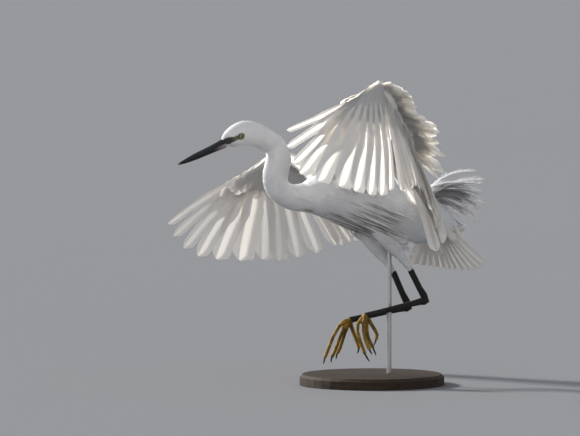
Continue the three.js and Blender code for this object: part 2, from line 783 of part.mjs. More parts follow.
const torsoRoom = torso(GAP);
add("torso", "white", torso().subtract(rodRoom));
add("neck_lower", "white", neck(3, 6).subtract(torsoRoom));
add("neck_upper", "white", neck(0, 3).subtract(fuse([torsoRoom, neck(3, 6, GAP)])));

const eyeRooms = fuse([eye(1, GAP), eye(-1, GAP)]);
const neckRoom = neck(0, 3, GAP);
const grooves = fuse([gape(1), gape(-1)]);
add("head", "white", fuse([head(), lid(1), lid(-1)]).subtract(fuse([eyeRooms, neckRoom, grooves])));
add("eye_left", "eye", eye(1));
add("eye_right", "eye", eye(-1));
const headRoom = head(GAP);
const nostrils = fuse([nostril(1), nostril(-1)]);
add("bill_upper", "bill", bill().subtract(fuse([headRoom, mouthSlab(-1), nostrils])));
add("bill_lower", "lowerBill", bill().subtract(fuse([headRoom, mouthSlab(1)])));

add("tail", "white", tail().subtract(torsoRoom));

for (const [side, wing] of Object.entries(WINGS)) {
  const handRoom = wingHand(wing, GAP);
  add(`wing_${side}_hand`, "white", wingHand(wing).subtract(torsoRoom));
  add(`wing_${side}_arm`, "white", wingArm(wing).subtract(fuse([handRoom, torsoRoom])));
}

for (const [side, leg] of Object.entries(LEGS)) {
  const thighRoom = thigh(leg, GAP);
  const shinRoom = shin(leg, GAP);
  const tarsusRoom = tarsus(leg, GAP);
  const footRoom = foot(leg, GAP);
  add(`thigh_${side}`, "white", thigh(leg).subtract(fuse([torsoRoom, rodRoom])));
  add(`shin_${side}`, "leg", shin(leg).subtract(thighRoom));
  add(`tarsus_${side}`, "leg", tarsus(leg).subtract(shinRoom));
  add(`foot_${side}`, "foot", foot(leg).subtract(tarsusRoom));
  leg.toes.forEach((joints, k) => add(`claw_${side}_${k + 1}`, "claw", claw(joints).subtract(footRoom)));
}

export default egret;
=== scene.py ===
"""Dresses the life-size little egret: skin, plumage, bill, eyes, legs, feet and its display stand."""

import logging
import math
from dataclasses import dataclass, field
from enum import Enum
from typing import Callable, Iterable, Sequence

import bpy
import numpy as np
from mathutils import Matrix, Vector


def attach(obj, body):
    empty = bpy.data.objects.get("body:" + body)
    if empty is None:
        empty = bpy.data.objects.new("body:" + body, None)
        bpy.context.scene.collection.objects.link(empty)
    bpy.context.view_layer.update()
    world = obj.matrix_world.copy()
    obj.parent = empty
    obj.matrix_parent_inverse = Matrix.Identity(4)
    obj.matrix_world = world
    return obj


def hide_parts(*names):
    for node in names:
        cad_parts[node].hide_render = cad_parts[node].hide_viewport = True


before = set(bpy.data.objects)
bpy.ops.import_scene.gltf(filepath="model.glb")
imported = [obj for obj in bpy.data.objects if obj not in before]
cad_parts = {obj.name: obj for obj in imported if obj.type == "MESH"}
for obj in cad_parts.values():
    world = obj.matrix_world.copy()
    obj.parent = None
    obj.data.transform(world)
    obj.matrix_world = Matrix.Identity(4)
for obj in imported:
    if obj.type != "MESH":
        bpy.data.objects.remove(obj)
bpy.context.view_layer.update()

LOG = logging.getLogger("egret")
MM = 0.001
SEED = 11
UP = np.array([0.0, 0.0, 1.0])
SMALL_PATCH = 0.003  # side of one small feather's patch on the unwrapped skin
Point = tuple[float, float, float]
Cell = tuple[float, float, float, float]
Station = Sequence[float]
Array = np.ndarray


def vec(values: Sequence[float]) -> Array:
    """A point given in millimetres, in metres."""
    return np.array(values, float) * MM


def unit(values: Array) -> Array:
    """The vectors of an array's last axis, each at length one."""
    return values / np.maximum(np.linalg.norm(values, axis=-1, keepdims=True), 1e-12)


class Side(Enum):
    """The two sides of the bird. The left side is the one nearer the camera."""

    LEFT = "left"
    RIGHT = "right"


YAW = math.radians(30)
ROLL = math.radians(17)
HEAD_LEFT = np.array([math.sin(YAW), -math.cos(YAW), 0.0])
BODY_LEFT = unit(np.array([*(HEAD_LEFT[:2] * math.cos(ROLL)), math.sin(ROLL)]))


# Shader expressions

# Socket numbers of a Mix node that mixes colours
MIX_SHARE, MIX_FIRST, MIX_SECOND, MIX_COLOUR = 0, 6, 7, 2


class Signal:
    """A shader socket that takes part in Python arithmetic through Math nodes."""

    def __init__(self, shader: "Shader", socket: bpy.types.NodeSocket) -> None:
        """Keeps the shader that the socket belongs to."""
        self.shader = shader
        self.socket = socket

    def _math(self, operation: str, *values: "Signal | float") -> "Signal":
        """Adds one Math node over the values."""
        return self.shader.node("ShaderNodeMath", {"operation": operation}, dict(enumerate(values)))

    def __add__(self, other: "Signal | float") -> "Signal":
        """Sum."""
        return self._math("ADD", self, other)

    def __sub__(self, other: "Signal | float") -> "Signal":
        """Difference."""
        return self._math("SUBTRACT", self, other)

    def __rsub__(self, other: float) -> "Signal":
        """Reflected difference."""
        return self._math("SUBTRACT", other, self)

    def __mul__(self, other: "Signal | float") -> "Signal":
        """Product."""
        return self._math("MULTIPLY", self, other)

    __radd__ = __add__
    __rmul__ = __mul__

    def larger(self, other: "Signal") -> "Signal":
        """The larger of two values."""
        return self._math("MAXIMUM", self, other)

    def absolute(self) -> "Signal":
        """The value without its sign."""
        return self._math("ABSOLUTE", self)

    def sine(self) -> "Signal":
        """The sine of the value, in radians."""
        return self._math("SINE", self)

    def between(self, low: float, high: float) -> "Signal":
        """A smooth step from 0 at `low` to 1 at `high`, which may be the smaller."""
        settings = {"interpolation_type": "SMOOTHSTEP"}
        inputs = {"Value": self, "From Min": low, "From Max": high}
        return self.shader.node("ShaderNodeMapRange", settings, inputs)


class Shader:
    """A material being built, with one method that adds any node."""

    def __init__(self, name: str) -> None:
        """Makes an empty node material."""
        self.material = bpy.data.materials.new(name)
        self.material.use_nodes = True
        self.tree = self.material.node_tree
        self.tree.nodes.clear()
        self.output = self.tree.nodes.new("ShaderNodeOutputMaterial")

    def node(self, kind: str, settings: dict, inputs: dict, out: int | str = 0) -> Signal:
        """Adds a node.

        Args:
            kind: the node's type name.
            settings: attributes set first; `stops` fills a colour ramp.
            inputs: socket name or number to a value or a Signal.
            out: the output socket that is returned.

        Returns:
            The chosen output as a Signal.
        """
        made = self.tree.nodes.new(kind)
        for key, value in settings.items():
            if key == "stops":
                self._fill_ramp(made.color_ramp, value)
            else:
                setattr(made, key, value)
        for key, value in inputs.items():
            if isinstance(value, Signal):
                self.tree.links.new(value.socket, made.inputs[key])
            else:
                made.inputs[key].default_value = value
        return Signal(self, made.outputs[out])

    @staticmethod
    def _fill_ramp(ramp: bpy.types.ColorRamp, stops: Sequence[tuple[float, Sequence[float]]]) -> None:
        """Sets a ramp's stops, given as place and colour."""
        while len(ramp.elements) < len(stops):
            ramp.elements.new(0.5)
        for element, (place, colour) in zip(ramp.elements, stops):
            element.position = place
            element.color = (*colour, 1.0)

    def place(self) -> Signal:
        """The object's own coordinates, in metres."""
        return self.node("ShaderNodeTexCoord", {}, {}, "Object")

    def uv(self, name: str) -> Signal:
        """The coordinates of a named UV map."""
        return self.node("ShaderNodeUVMap", {"uv_map": name}, {})

    def parts(self, vector: Signal) -> list[Signal]:
        """The x, y and z of a vector."""
        first = self.node("ShaderNodeSeparateXYZ", {}, {0: vector})
        return [Signal(self, socket) for socket in first.socket.node.outputs]

    def noise(self, vector: Signal, scale: float, detail: float = 3.0) -> Signal:
        """Fractal noise over a vector."""
        return self.node("ShaderNodeTexNoise", {}, {"Vector": vector, "Scale": scale, "Detail": detail})

    def stretch(self, vector: Signal, scale: Point) -> Signal:
        """The vector scaled on each axis."""
        return self.node("ShaderNodeMapping", {}, {"Vector": vector, "Scale": scale})

    def colours(
        self, share: Signal | float, first: Sequence[float] | Signal, second: Sequence[float] | Signal
    ) -> Signal:
        """A mix of two colours, the first where the share is 0."""
        values = [value if isinstance(value, Signal) else (*value, 1.0) for value in (first, second)]
        inputs = {MIX_SHARE: share, MIX_FIRST: values[0], MIX_SECOND: values[1]}
        return self.node("ShaderNodeMix", {"data_type": "RGBA"}, inputs, MIX_COLOUR)

    def vector_math(self, operation: str, *values: Signal | Point, out: int | str = 0) -> Signal:
        """Adds one Vector Math node over the values."""
        return self.node("ShaderNodeVectorMath", {"operation": operation}, dict(enumerate(values)), out)

    def distance(self, vector: Signal, centre: Point) -> Signal:
        """How far a vector is from a point."""
        return self.vector_math("DISTANCE", vector, centre, out="Value")

    def along(self, vector: Signal, axis: Point) -> Signal:
        """The dot product of a vector and an axis."""
        return self.vector_math("DOT_PRODUCT", vector, axis, out="Value")

    def bump(self, height: Signal, strength: float, distance: float) -> Signal:
        """A normal bent by a height."""
        inputs = {"Strength": strength, "Distance": distance, "Height": height}
        return self.node("ShaderNodeBump", {}, inputs)

    def principled(self, inputs: dict) -> Signal:
        """A Principled shader with the given sockets."""
        return self.node("ShaderNodeBsdfPrincipled", {}, inputs)

    def finish(self, surface: Signal) -> bpy.types.Material:
        """Links the surface to the output and returns the material."""
        self.tree.links.new(surface.socket, self.output.inputs["Surface"])
        return self.material


# Finishes


@dataclass(frozen=True)
class Plumage:
    """White feathers with barbs. Light passes through where a vane is thin. Where vanes overlap and along
    the quill, darker colour is painted in as shade.
    """

    name: str
    light: tuple[float, float, float] = (0.93, 0.93, 0.94)
    shade: tuple[float, float, float] = (0.80, 0.81, 0.84)
    glow: tuple[float, float, float] = (1.0, 0.975, 0.935)
    through: float = 0.35
    barbs: float = 260.0
    relief: float = 0.35
    roughness: float = 0.62
    # The next two set the painted shade of backlit vanes: its strength over the overlapped strips and the
    # quill, and its colour in the overlapped strips.
    cover: float = 0.0
    overlap_shade_colour: tuple[float, float, float] = (0.82, 0.81, 0.79)

    def build(self) -> bpy.types.Material:
        """Builds the material over the Barbs UV map, where x is across the vane and y is along it."""
        shader = Shader(self.name)
        across, along, _ = shader.parts(shader.uv("Barbs"))
        off_shaft = (across - 0.5).absolute() * 2.0
        slant = along * self.barbs - off_shaft * 5.0
        tangle = shader.noise(shader.place(), 420.0)
        ridges = (slant * 6.2832 + tangle * 5.0).sine() * 0.5 + 0.5
        patches = shader.noise(shader.place(), 55.0, 2.0)
        tone = patches.between(0.35, 0.7) * 0.6 + ridges * 0.4
        colour = shader.colours(tone, self.shade, self.light)
        # Painted shade: outside the lone strip each vane is taken to lie under the next one, so it is
        # painted darker and lets less light through.
        lone = across.between(0.20, 0.34) * across.between(0.60, 0.50)
        overlap_shade = (1.0 - lone) * self.cover
        colour = shader.colours(overlap_shade, colour, self.overlap_shade_colour)
        # The quill is a real line. Its darker grey-brown is painted shade of the backlit shaft.
        quill = off_shaft.between(0.055, 0.025) * (self.cover * 0.55)
        colour = shader.colours(quill, colour, (0.50, 0.46, 0.40))
        height = ridges * 0.7 + tangle * 0.5
        normal = shader.bump(height, self.relief, 0.0004)
        solid = shader.principled({
            "Base Color": colour, "Roughness": self.roughness, "Specular IOR Level": 0.25, "Normal": normal,
        })
        clear = shader.node("ShaderNodeBsdfTranslucent", {}, {"Color": (*self.glow, 1.0), "Normal": normal})
        through = (1.0 - overlap_shade * 0.8) * self.through
        return shader.finish(shader.node("ShaderNodeMixShader", {}, {0: through, 1: solid, 2: clear}))


@dataclass(frozen=True)
class BareSkin:
    """The skin under the plumage, white down with grey-green lores before the eye."""

    name: str = "skin"
    down: tuple[float, float, float] = (0.86, 0.86, 0.87)
    lores: tuple[float, float, float] = (0.20, 0.20, 0.11)

    def build(self) -> bpy.types.Material:
        """Builds the material from places on the head."""
        shader = Shader(self.name)
        place = shader.place()
        grain = shader.noise(place, 900.0)
        mask = None
        for centre, radius in LORES:
            part = shader.distance(place, tuple(centre)).between(radius * 1.25, radius * 0.8)
            mask = part if mask is None else mask.larger(part)
        reach = shader.distance(place, tuple(BILL_BASE)).between(22 * MM, 9 * MM)
        tint = shader.colours(reach + (grain - 0.5) * 0.5, self.lores, (0.018, 0.020, 0.024))
        colour = shader.colours(mask, self.down, tint)
        normal = shader.bump(grain, 0.4, 0.0003)
        return shader.finish(shader.principled({"Base Color": colour, "Roughness": 0.6, "Normal": normal}))


@dataclass(frozen=True)
class Horn:
    """Dark horn of the bill and the claws, which may take another tint near the bill's base."""

    name: str
    base_tint: tuple[float, float, float]
    tint_reach: float

    def build(self) -> bpy.types.Material:
        """Builds the material along the bill's length."""
        shader = Shader(self.name)
        place = shader.place()
        far = shader.distance(place, tuple(BILL_BASE))
        grain = shader.noise(shader.stretch(place, (60.0, 60.0, 320.0)), 4.0, 4.0)
        ends = (far + grain * 0.008).between(self.tint_reach, self.tint_reach * 0.25)
        dark = shader.colours(grain, (0.004, 0.005, 0.007), (0.020, 0.023, 0.030))
        colour = shader.colours(ends, dark, self.base_tint)
        normal = shader.bump(grain, 0.25, 0.0004)
        return shader.finish(shader.principled({
            "Base Color": colour, "Roughness": grain * 0.2 + 0.3, "Coat Weight": 0.1,
            "Specular IOR Level": 0.3, "Normal": normal,
        }))


@dataclass(frozen=True)
class EyeGlass:
    """A yellow iris round a black pupil, under a clear cornea."""

    name: str
    centre: Point
    axis: Point

    def build(self) -> bpy.types.Material:
        """Builds the material from the angle to the eye's own axis."""
        shader = Shader(self.name)
        offset = shader.vector_math("SUBTRACT", shader.place(), self.centre)
        facing = shader.along(shader.vector_math("NORMALIZE", offset), self.axis)
        streaks = shader.noise(shader.place(), 2600.0, 2.0)
        stops = [
            (0.0, (0.02, 0.02, 0.02)), (0.66, (0.03, 0.03, 0.02)), (0.72, (0.30, 0.25, 0.04)),
            (0.80, (0.60, 0.52, 0.09)), (0.865, (0.42, 0.36, 0.06)), (0.885, (0.004, 0.004, 0.004)),
        ]
        rings = shader.node("ShaderNodeValToRGB", {"stops": stops}, {0: facing + (streaks - 0.5) * 0.02})
        return shader.finish(shader.principled({
            "Base Color": rings, "Roughness": 0.06, "Coat Weight": 1.0, "Coat Roughness": 0.02,
        }))


@dataclass(frozen=True)
class Scutes:
    """Scaled skin of the legs, toes and lids: plates across, with painted shade in the creases and painted
    highlight on the plate tops.
    """

    name: str
    dark: tuple[float, float, float]
    light: tuple[float, float, float]
    plates: float
    roughness: float = 0.45

    def build(self) -> bpy.types.Material:
        """Builds the material from cells that are stretched round the limb."""
        shader = Shader(self.name)
        place = shader.place()
        cells = shader.node(
            "ShaderNodeTexVoronoi", {"feature": "DISTANCE_TO_EDGE"},
            {"Vector": shader.stretch(place, (1.0, 1.0, 1.9)), "Scale": self.plates}, "Distance",
        )
        # Painted shade and highlight: `plate` darkens the creases between plates and lightens their tops.
        # The bump uses it as well, and the patches vary the tone at random.
        plate = cells.between(0.0, 0.16)
        patches = shader.noise(place, 70.0)
        grain = shader.noise(place, 1400.0)
        tone = plate * (patches.between(0.3, 0.65) * 0.8 + 0.2)
        colour = shader.colours(tone, self.dark, self.light)
        normal = shader.bump(plate + grain * 0.25, 0.6, 0.0005)
        return shader.finish(shader.principled({
            "Base Color": colour, "Roughness": grain * 0.15 + self.roughness,
            "Specular IOR Level": 0.3, "Normal": normal,
        }))


@dataclass(frozen=True)
class StainedWood:
    """The stand's turned base, dark stained and waxed."""

    name: str = "stained_wood"

    def build(self) -> bpy.types.Material:
        """Builds rings and pores along the grain."""
        shader = Shader(self.name)
        grain = shader.stretch(shader.place(), (9.0, 90.0, 90.0))
        bands = shader.noise(grain, 1.6, 6.0)
        pores = shader.noise(shader.stretch(shader.place(), (60.0, 1400.0, 1400.0)), 1.0, 2.0)
        stops = [(0.3, (0.016, 0.011, 0.008)), (0.55, (0.038, 0.026, 0.018)), (0.75, (0.060, 0.042, 0.028))]
        colour = shader.node("ShaderNodeValToRGB", {"stops": stops}, {0: bands * 0.8 + pores * 0.2})
        normal = shader.bump(pores, 0.25, 0.0004)
        return shader.finish(shader.principled({
            "Base Color": colour, "Roughness": bands * 0.15 + 0.62,
            "Specular IOR Level": 0.18, "Normal": normal,
        }))


@dataclass(frozen=True)
class BrushedSteel:
    """The stand's rod, brushed round its length."""

    name: str = "brushed_steel"

    def build(self) -> bpy.types.Material:
        """Builds fine lines round the rod."""
        shader = Shader(self.name)
        lines = shader.noise(shader.stretch(shader.place(), (40.0, 40.0, 4200.0)), 1.0, 3.0)
        colour = shader.colours(lines, (0.42, 0.43, 0.44), (0.62, 0.63, 0.64))
        normal = shader.bump(lines, 0.2, 0.0002)
        return shader.finish(shader.principled({
            "Base Color": colour, "Metallic": 1.0, "Roughness": lines * 0.15 + 0.25, "Normal": normal,
        }))


@dataclass(frozen=True)
class StudioFloor:
    """A plain pale floor."""

    name: str = "studio_floor"
    tone: tuple[float, float, float] = (0.196, 0.201, 0.214)

    def build(self) -> bpy.types.Material:
        """Builds a nearly even matt surface."""
        shader = Shader(self.name)
        cloud = shader.noise(shader.place(), 0.4, 2.0)
        colour = shader.colours(cloud, tuple(c * 0.97 for c in self.tone), self.tone)
        return shader.finish(shader.principled({
            "Base Color": colour, "Roughness": 0.9, "Specular IOR Level": 0.1,
        }))


# Curves through stations


class Path:
    """A smooth curve through a few stations, each a point with any number of sizes."""

    def __init__(self, stations: Sequence[Sequence[float]], scale: float = MM) -> None:
        """Keeps the stations, in metres."""
        self.stations = np.array(stations, float) * scale

    def at(self, share: float | Array) -> Array:
        """The interpolated station at a share of the way, by Catmull-Rom."""
        rows = self.stations
        count = len(rows)
        place = np.clip(np.asarray(share, float), 0.0, 1.0) * (count - 1)
        first = np.minimum(place.astype(int), count - 2)
        step = (place - first)[..., None]
        before = rows[np.maximum(first - 1, 0)]
        start, end = rows[first], rows[first + 1]
        after = rows[np.minimum(first + 2, count - 1)]
        before = np.where((first == 0)[..., None], 2 * start - end, before)
        after = np.where((first == count - 2)[..., None], 2 * end - start, after)
        return 0.5 * (
            2 * start + (end - before) * step + (2 * before - 5 * start + 4 * end - after) * step**2
            + (3 * start - before - 3 * end + after) * step**3
        )

    def tangent(self, share: float | Array) -> Array:
        """The direction of the path at a share of the way."""
        low = np.clip(np.asarray(share, float) - 0.01, 0, 1)
        high = np.clip(np.asarray(share, float) + 0.01, 0, 1)
        return unit((self.at(high) - self.at(low))[..., :3])


# Stations of the flesh in millimetres: x, y, z, half width, half height
HEAD_STATIONS = [
    (-213, -126, 360, 6, 7.5), (-208, -123, 365, 9.5, 12), (-200, -118, 368.5, 13, 16),
    (-185, -110, 373, 15.5, 18.5), (-168, -100.5, 370, 15.5, 18), (-152.5, -90.7, 361.6, 14, 17.5),
]
NECK_STATIONS = [
    (-152.5, -90.7, 361.6, 14, 17.5), (-142, -84, 354, 13.5, 18), (-136, -82, 336, 14.5, 20.8),
    (-140, -84, 309, 15, 20.8), (-135, -81, 291, 16, 19), (-118, -71, 279, 17, 19.5),
    (-97, -58.5, 277, 21, 22),
]
TORSO_STATIONS = [
    (-97, -58.5, 277, 21, 22), (-73, -44, 278, 32, 30), (-32, -21, 268, 39, 37), (12, 4, 256, 40, 41.5),
    (52, 28, 245, 36, 41), (82, 44, 235, 28, 33), (104, 56, 228, 16, 22),
]
THIGHS = {
    Side.LEFT: [
        (4, -16, 246, 17, 24), (25, -4, 214, 13, 17), (41, 6, 188, 7.5, 9), (56, 14, 166, 4.4, 4.8),
    ],
    Side.RIGHT: [
        (-14, 20, 238, 17, 24), (4, 24, 208, 13, 17), (18, 28, 183, 7.5, 9), (31, 31, 162, 4.4, 4.8),
    ],
}
COAT_DEPTH = 1.6 * MM
BILL_BASE = vec((-212, -125, 361))
BILL_TIP = vec((-281, -165.5, 331))
EYE_MIDDLE = vec((-195.5, -116, 369.5))
EYE_OFFSET = 10.4 * MM
EYE_RADIUS = 5.0 * MM
EYE_CLEARING = 5.6 * MM  # round the eye, where no feathers grow
# Bare spots from the bill's root to behind the eye, each a centre and a radius
LORES = [
    (EYE_MIDDLE + side * HEAD_LEFT * offset * MM + unit(BILL_TIP - BILL_BASE) * reach * MM, size * MM)
    for side in (1, -1)
    for reach, offset, size in (
        (4.5, 10, 4.0), (8.0, 10, 3.9), (11.5, 9.5, 4.2),
        (15.0, 8.5, 4.8), (18.5, 7, 5.4), (21.5, 5.5, 5.4),
    )
]
# The line of the mouth: a place on the head's middle plane and the way out from it
GAPE = Path([
    (-213, -125.5, 358.2, 6.6), (-208, -122.5, 359.6, 9.3),
    (-202, -119, 360.4, 12), (-196, -115.5, 360.4, 13.6),
])
LORES += [
    (GAPE.at(share)[:3] + side * HEAD_LEFT * GAPE.at(share)[3], 0.9 * MM)
    for side in (1, -1) for share in np.linspace(0, 1, 9)
]

WINGS = {
    Side.LEFT: {
        "dorsal": 1,
        "shoulder": (-44, -55, 299), "elbow": (49, -55, 355), "wrist": (9, -136, 445),
        "edge": [(-84, -56, 303), (-54, -74, 333), (-28, -94, 376), (-8, -114, 418), (3, -134, 447)],
        "bone": [(-22, -42, 288), (8, -52, 328), (44, -58, 356), (32, -94, 400), (14, -132, 442)],
        "primaries": [
            (-123, -361, 394), (-123, -353, 370), (-114, -349, 346), (-105, -341, 331), (-79, -330, 319),
            (-49, -316, 311), (-27, -296, 303), (-6, -272, 296), (11, -248, 293), (24, -226, 299),
        ],
        "inner": [
            (41, -190, 295), (56, -164, 297), (72, -130, 292), (84, -98, 272), (92, -72, 252),
            (98, -60, 222), (102, -50, 192), (98, -36, 214),
        ],
        "ruffled": [
            (41, -132, 433), (57, -122, 426), (62, -110, 402), (80, -94, 384), (93, -76, 372),
            (94, -60, 352), (98, -50, 328), (101, -46, 296),
        ],
    },
    Side.RIGHT: {
        "dorsal": -1,
        "shoulder": (-70, -7, 284), "elbow": (-48, 98, 300), "wrist": (-138, 179, 325),
        "edge": [(-92, 6, 290), (-96, 52, 301), (-111, 104, 313), (-126, 146, 322), (-143, 178, 328)],
        "bone": [(-44, 10, 272), (-44, 56, 286), (-50, 98, 298), (-94, 140, 312), (-134, 180, 320)],
        "primaries": [
            (-299, 361, 209), (-291, 369, 191), (-276, 370, 173), (-255, 370, 161), (-228, 363, 157),
            (-194, 354, 156), (-160, 342, 158), (-137, 320, 158), (-109, 301, 164), (-80, 276, 172),
        ],
        "inner": [
            (-52, 258, 184), (-22, 240, 192), (10, 218, 200), (38, 192, 214), (58, 166, 226),
            (68, 142, 232), (72, 118, 238), (66, 96, 246),
        ],
    },
}
HAND_LENGTH = 78 * MM
HAND_FEATHERS = 10
INNER_FEATHERS = 22
RUFFLED_LAYERS = ((1.0, 30), (0.82, 36), (0.62, 40), (0.45, 44))  # share of the full length, and number

TAIL_ROOT = vec((92, 50, 238))
TAIL_LENGTH = 94 * MM
TAIL_DIRECTIONS = np.array([(0.705, -0.22, -0.674), (0.25, 0.5, -0.83), (-0.305, 0.6, -0.737)])
TAIL_FEATHERS = 12
# Rows of tail coverts: upper or under face, length and lift in millimetres, and number
TAIL_COVERTS = ((1, 50, 5, 16), (1, 34, 9, 14), (-1, 56, 7, 18), (-1, 40, 12, 16), (-1, 26, 16, 14))


# Meshes from arrays


@dataclass
class Feather:
    """One feather: its shaft from root to tip, the side that faces out, and the half widths of its vane."""

    root: Array
    tip: Array
    normal: Array
    outer: Array
    out_width: float
    in_width: float
    bow: float = 0.04
    sweep: float = 0.0
    tilt: float = math.radians(7)
    taper: float = 0.0
    notch: float = 0.0
    cup: float = 0.06

    @property
    def length(self) -> float:
        """The straight length from root to tip."""
        return float(np.linalg.norm(self.tip - self.root))

    def shaft(self, share: Array) -> Array:
        """Points on the bowed shaft."""
        lift = 4 * share * (1 - share) * self.length
        line = self.root + (self.tip - self.root) * share[:, None]
        return line + self.normal * (self.bow * lift)[:, None] + self.outer * (self.sweep * lift)[:, None]


class Batch:
    """Collects many small meshes as arrays and makes one object of them."""

    def __init__(self, name: str) -> None:
        """Starts an empty batch."""
        self.name = name
        self.points: list[Array] = []
        self.faces: list[Array] = []
        self.barbs: list[Array] = []
        self.bake: list[Array] = []
        self.normals: list[Array] = []
        self.count = 0

    def add(self, points: Array, faces: Array, normals: Array, barbs: Array, bake: Array) -> None:
        """Adds one closed mesh with its two sets of coordinates, given for each point.

        Args:
            points: the corners, in metres.
            faces: four corner numbers a face; a triangle repeats its last.
            normals: the direction that each point is shaded by.
            barbs: across and along the vane.
            bake: places on the unwrapped skin.
        """
        self.points.append(points)
        self.faces.append(faces + self.count)
        self.normals.append(normals)
        self.barbs.append(barbs)
        self.bake.append(bake)
        self.count += len(points)

    def build(
        self, material: bpy.types.Material, slot: str, replaced: Iterable[str] = ()
    ) -> bpy.types.Object:
        """Makes the object, dresses it and hangs it on the bird.

        Args:
            material: the finish.
            slot: not used.
            replaced: the CAD nodes that it stands for.

        Returns:
            The new object.
        """
        points = np.concatenate(self.points)
        quads = np.concatenate(self.faces)
        sizes = np.where(quads[:, 2] == quads[:, 3], 3, 4)
        keep = np.ones(quads.shape, bool)
        keep[:, 3] = sizes == 4
        corners = quads[keep]
        mesh = bpy.data.meshes.new(self.name)
        mesh.vertices.add(len(points))
        mesh.vertices.foreach_set("co", points.astype(np.float32).ravel())
        mesh.loops.add(len(corners))
        mesh.loops.foreach_set("vertex_index", corners.astype(np.int32))
        mesh.polygons.add(len(quads))
        starts = np.concatenate([[0], np.cumsum(sizes)[:-1]])
        mesh.polygons.foreach_set("loop_start", starts.astype(np.int32))
        mesh.polygons.foreach_set("loop_total", sizes.astype(np.int32))
        mesh.polygons.foreach_set("use_smooth", np.ones(len(quads), bool))
        for layer, values in (("Barbs", self.barbs), ("OFBake", self.bake)):
            uv = mesh.uv_layers.new(name=layer)
            uv.data.foreach_set("uv", np.concatenate(values)[corners].astype(np.float32).ravel())
        mesh.update(calc_edges=True)
        shading = unit(np.concatenate(self.normals))[quads]
        first, second, third, fourth = (points[quads[:, k]] for k in range(4))
        facing = np.cross(third - first, fourth - second)
        shading *= np.where(np.sum(shading * facing[:, None], axis=2, keepdims=True) < 0, -1.0, 1.0)
        mesh.normals_split_custom_set(shading[keep].tolist())
        piece = bpy.data.objects.new(self.name, mesh)
        bpy.context.scene.collection.objects.link(piece)
        return dress(piece, material, replaced)


def dress(
    piece: bpy.types.Object, material: bpy.types.Material, replaced: Iterable[str] = ()
) -> bpy.types.Object:
    """Gives a finished piece its material and body, and hides the CAD nodes that it stands for."""
    piece.data.materials.clear()
    piece.data.materials.append(material)
    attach(piece, "root")
    if replaced:
        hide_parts(*replaced)
    return piece


def vane_width(share: Array, taper: float, notch: float) -> Array:
    """The share of a vane's full width along its shaft: bare quill, quick rise, rounded tip."""
    rise = np.clip(0.1 + share * 1.9, 0, 1) * np.clip((share - 0.01) * 12, 0.05, 1)
    tip = np.sqrt(np.clip(1 - (np.clip(share - 0.88, 0, 1) / 0.122) ** 2, 0.02, 1))
    narrowed = 1 - notch * (1 / (1 + np.exp(-(share - 0.58) * 26)))
    return rise * tip * narrowed * (1 - taper * np.clip(share - 0.5, 0, 1))


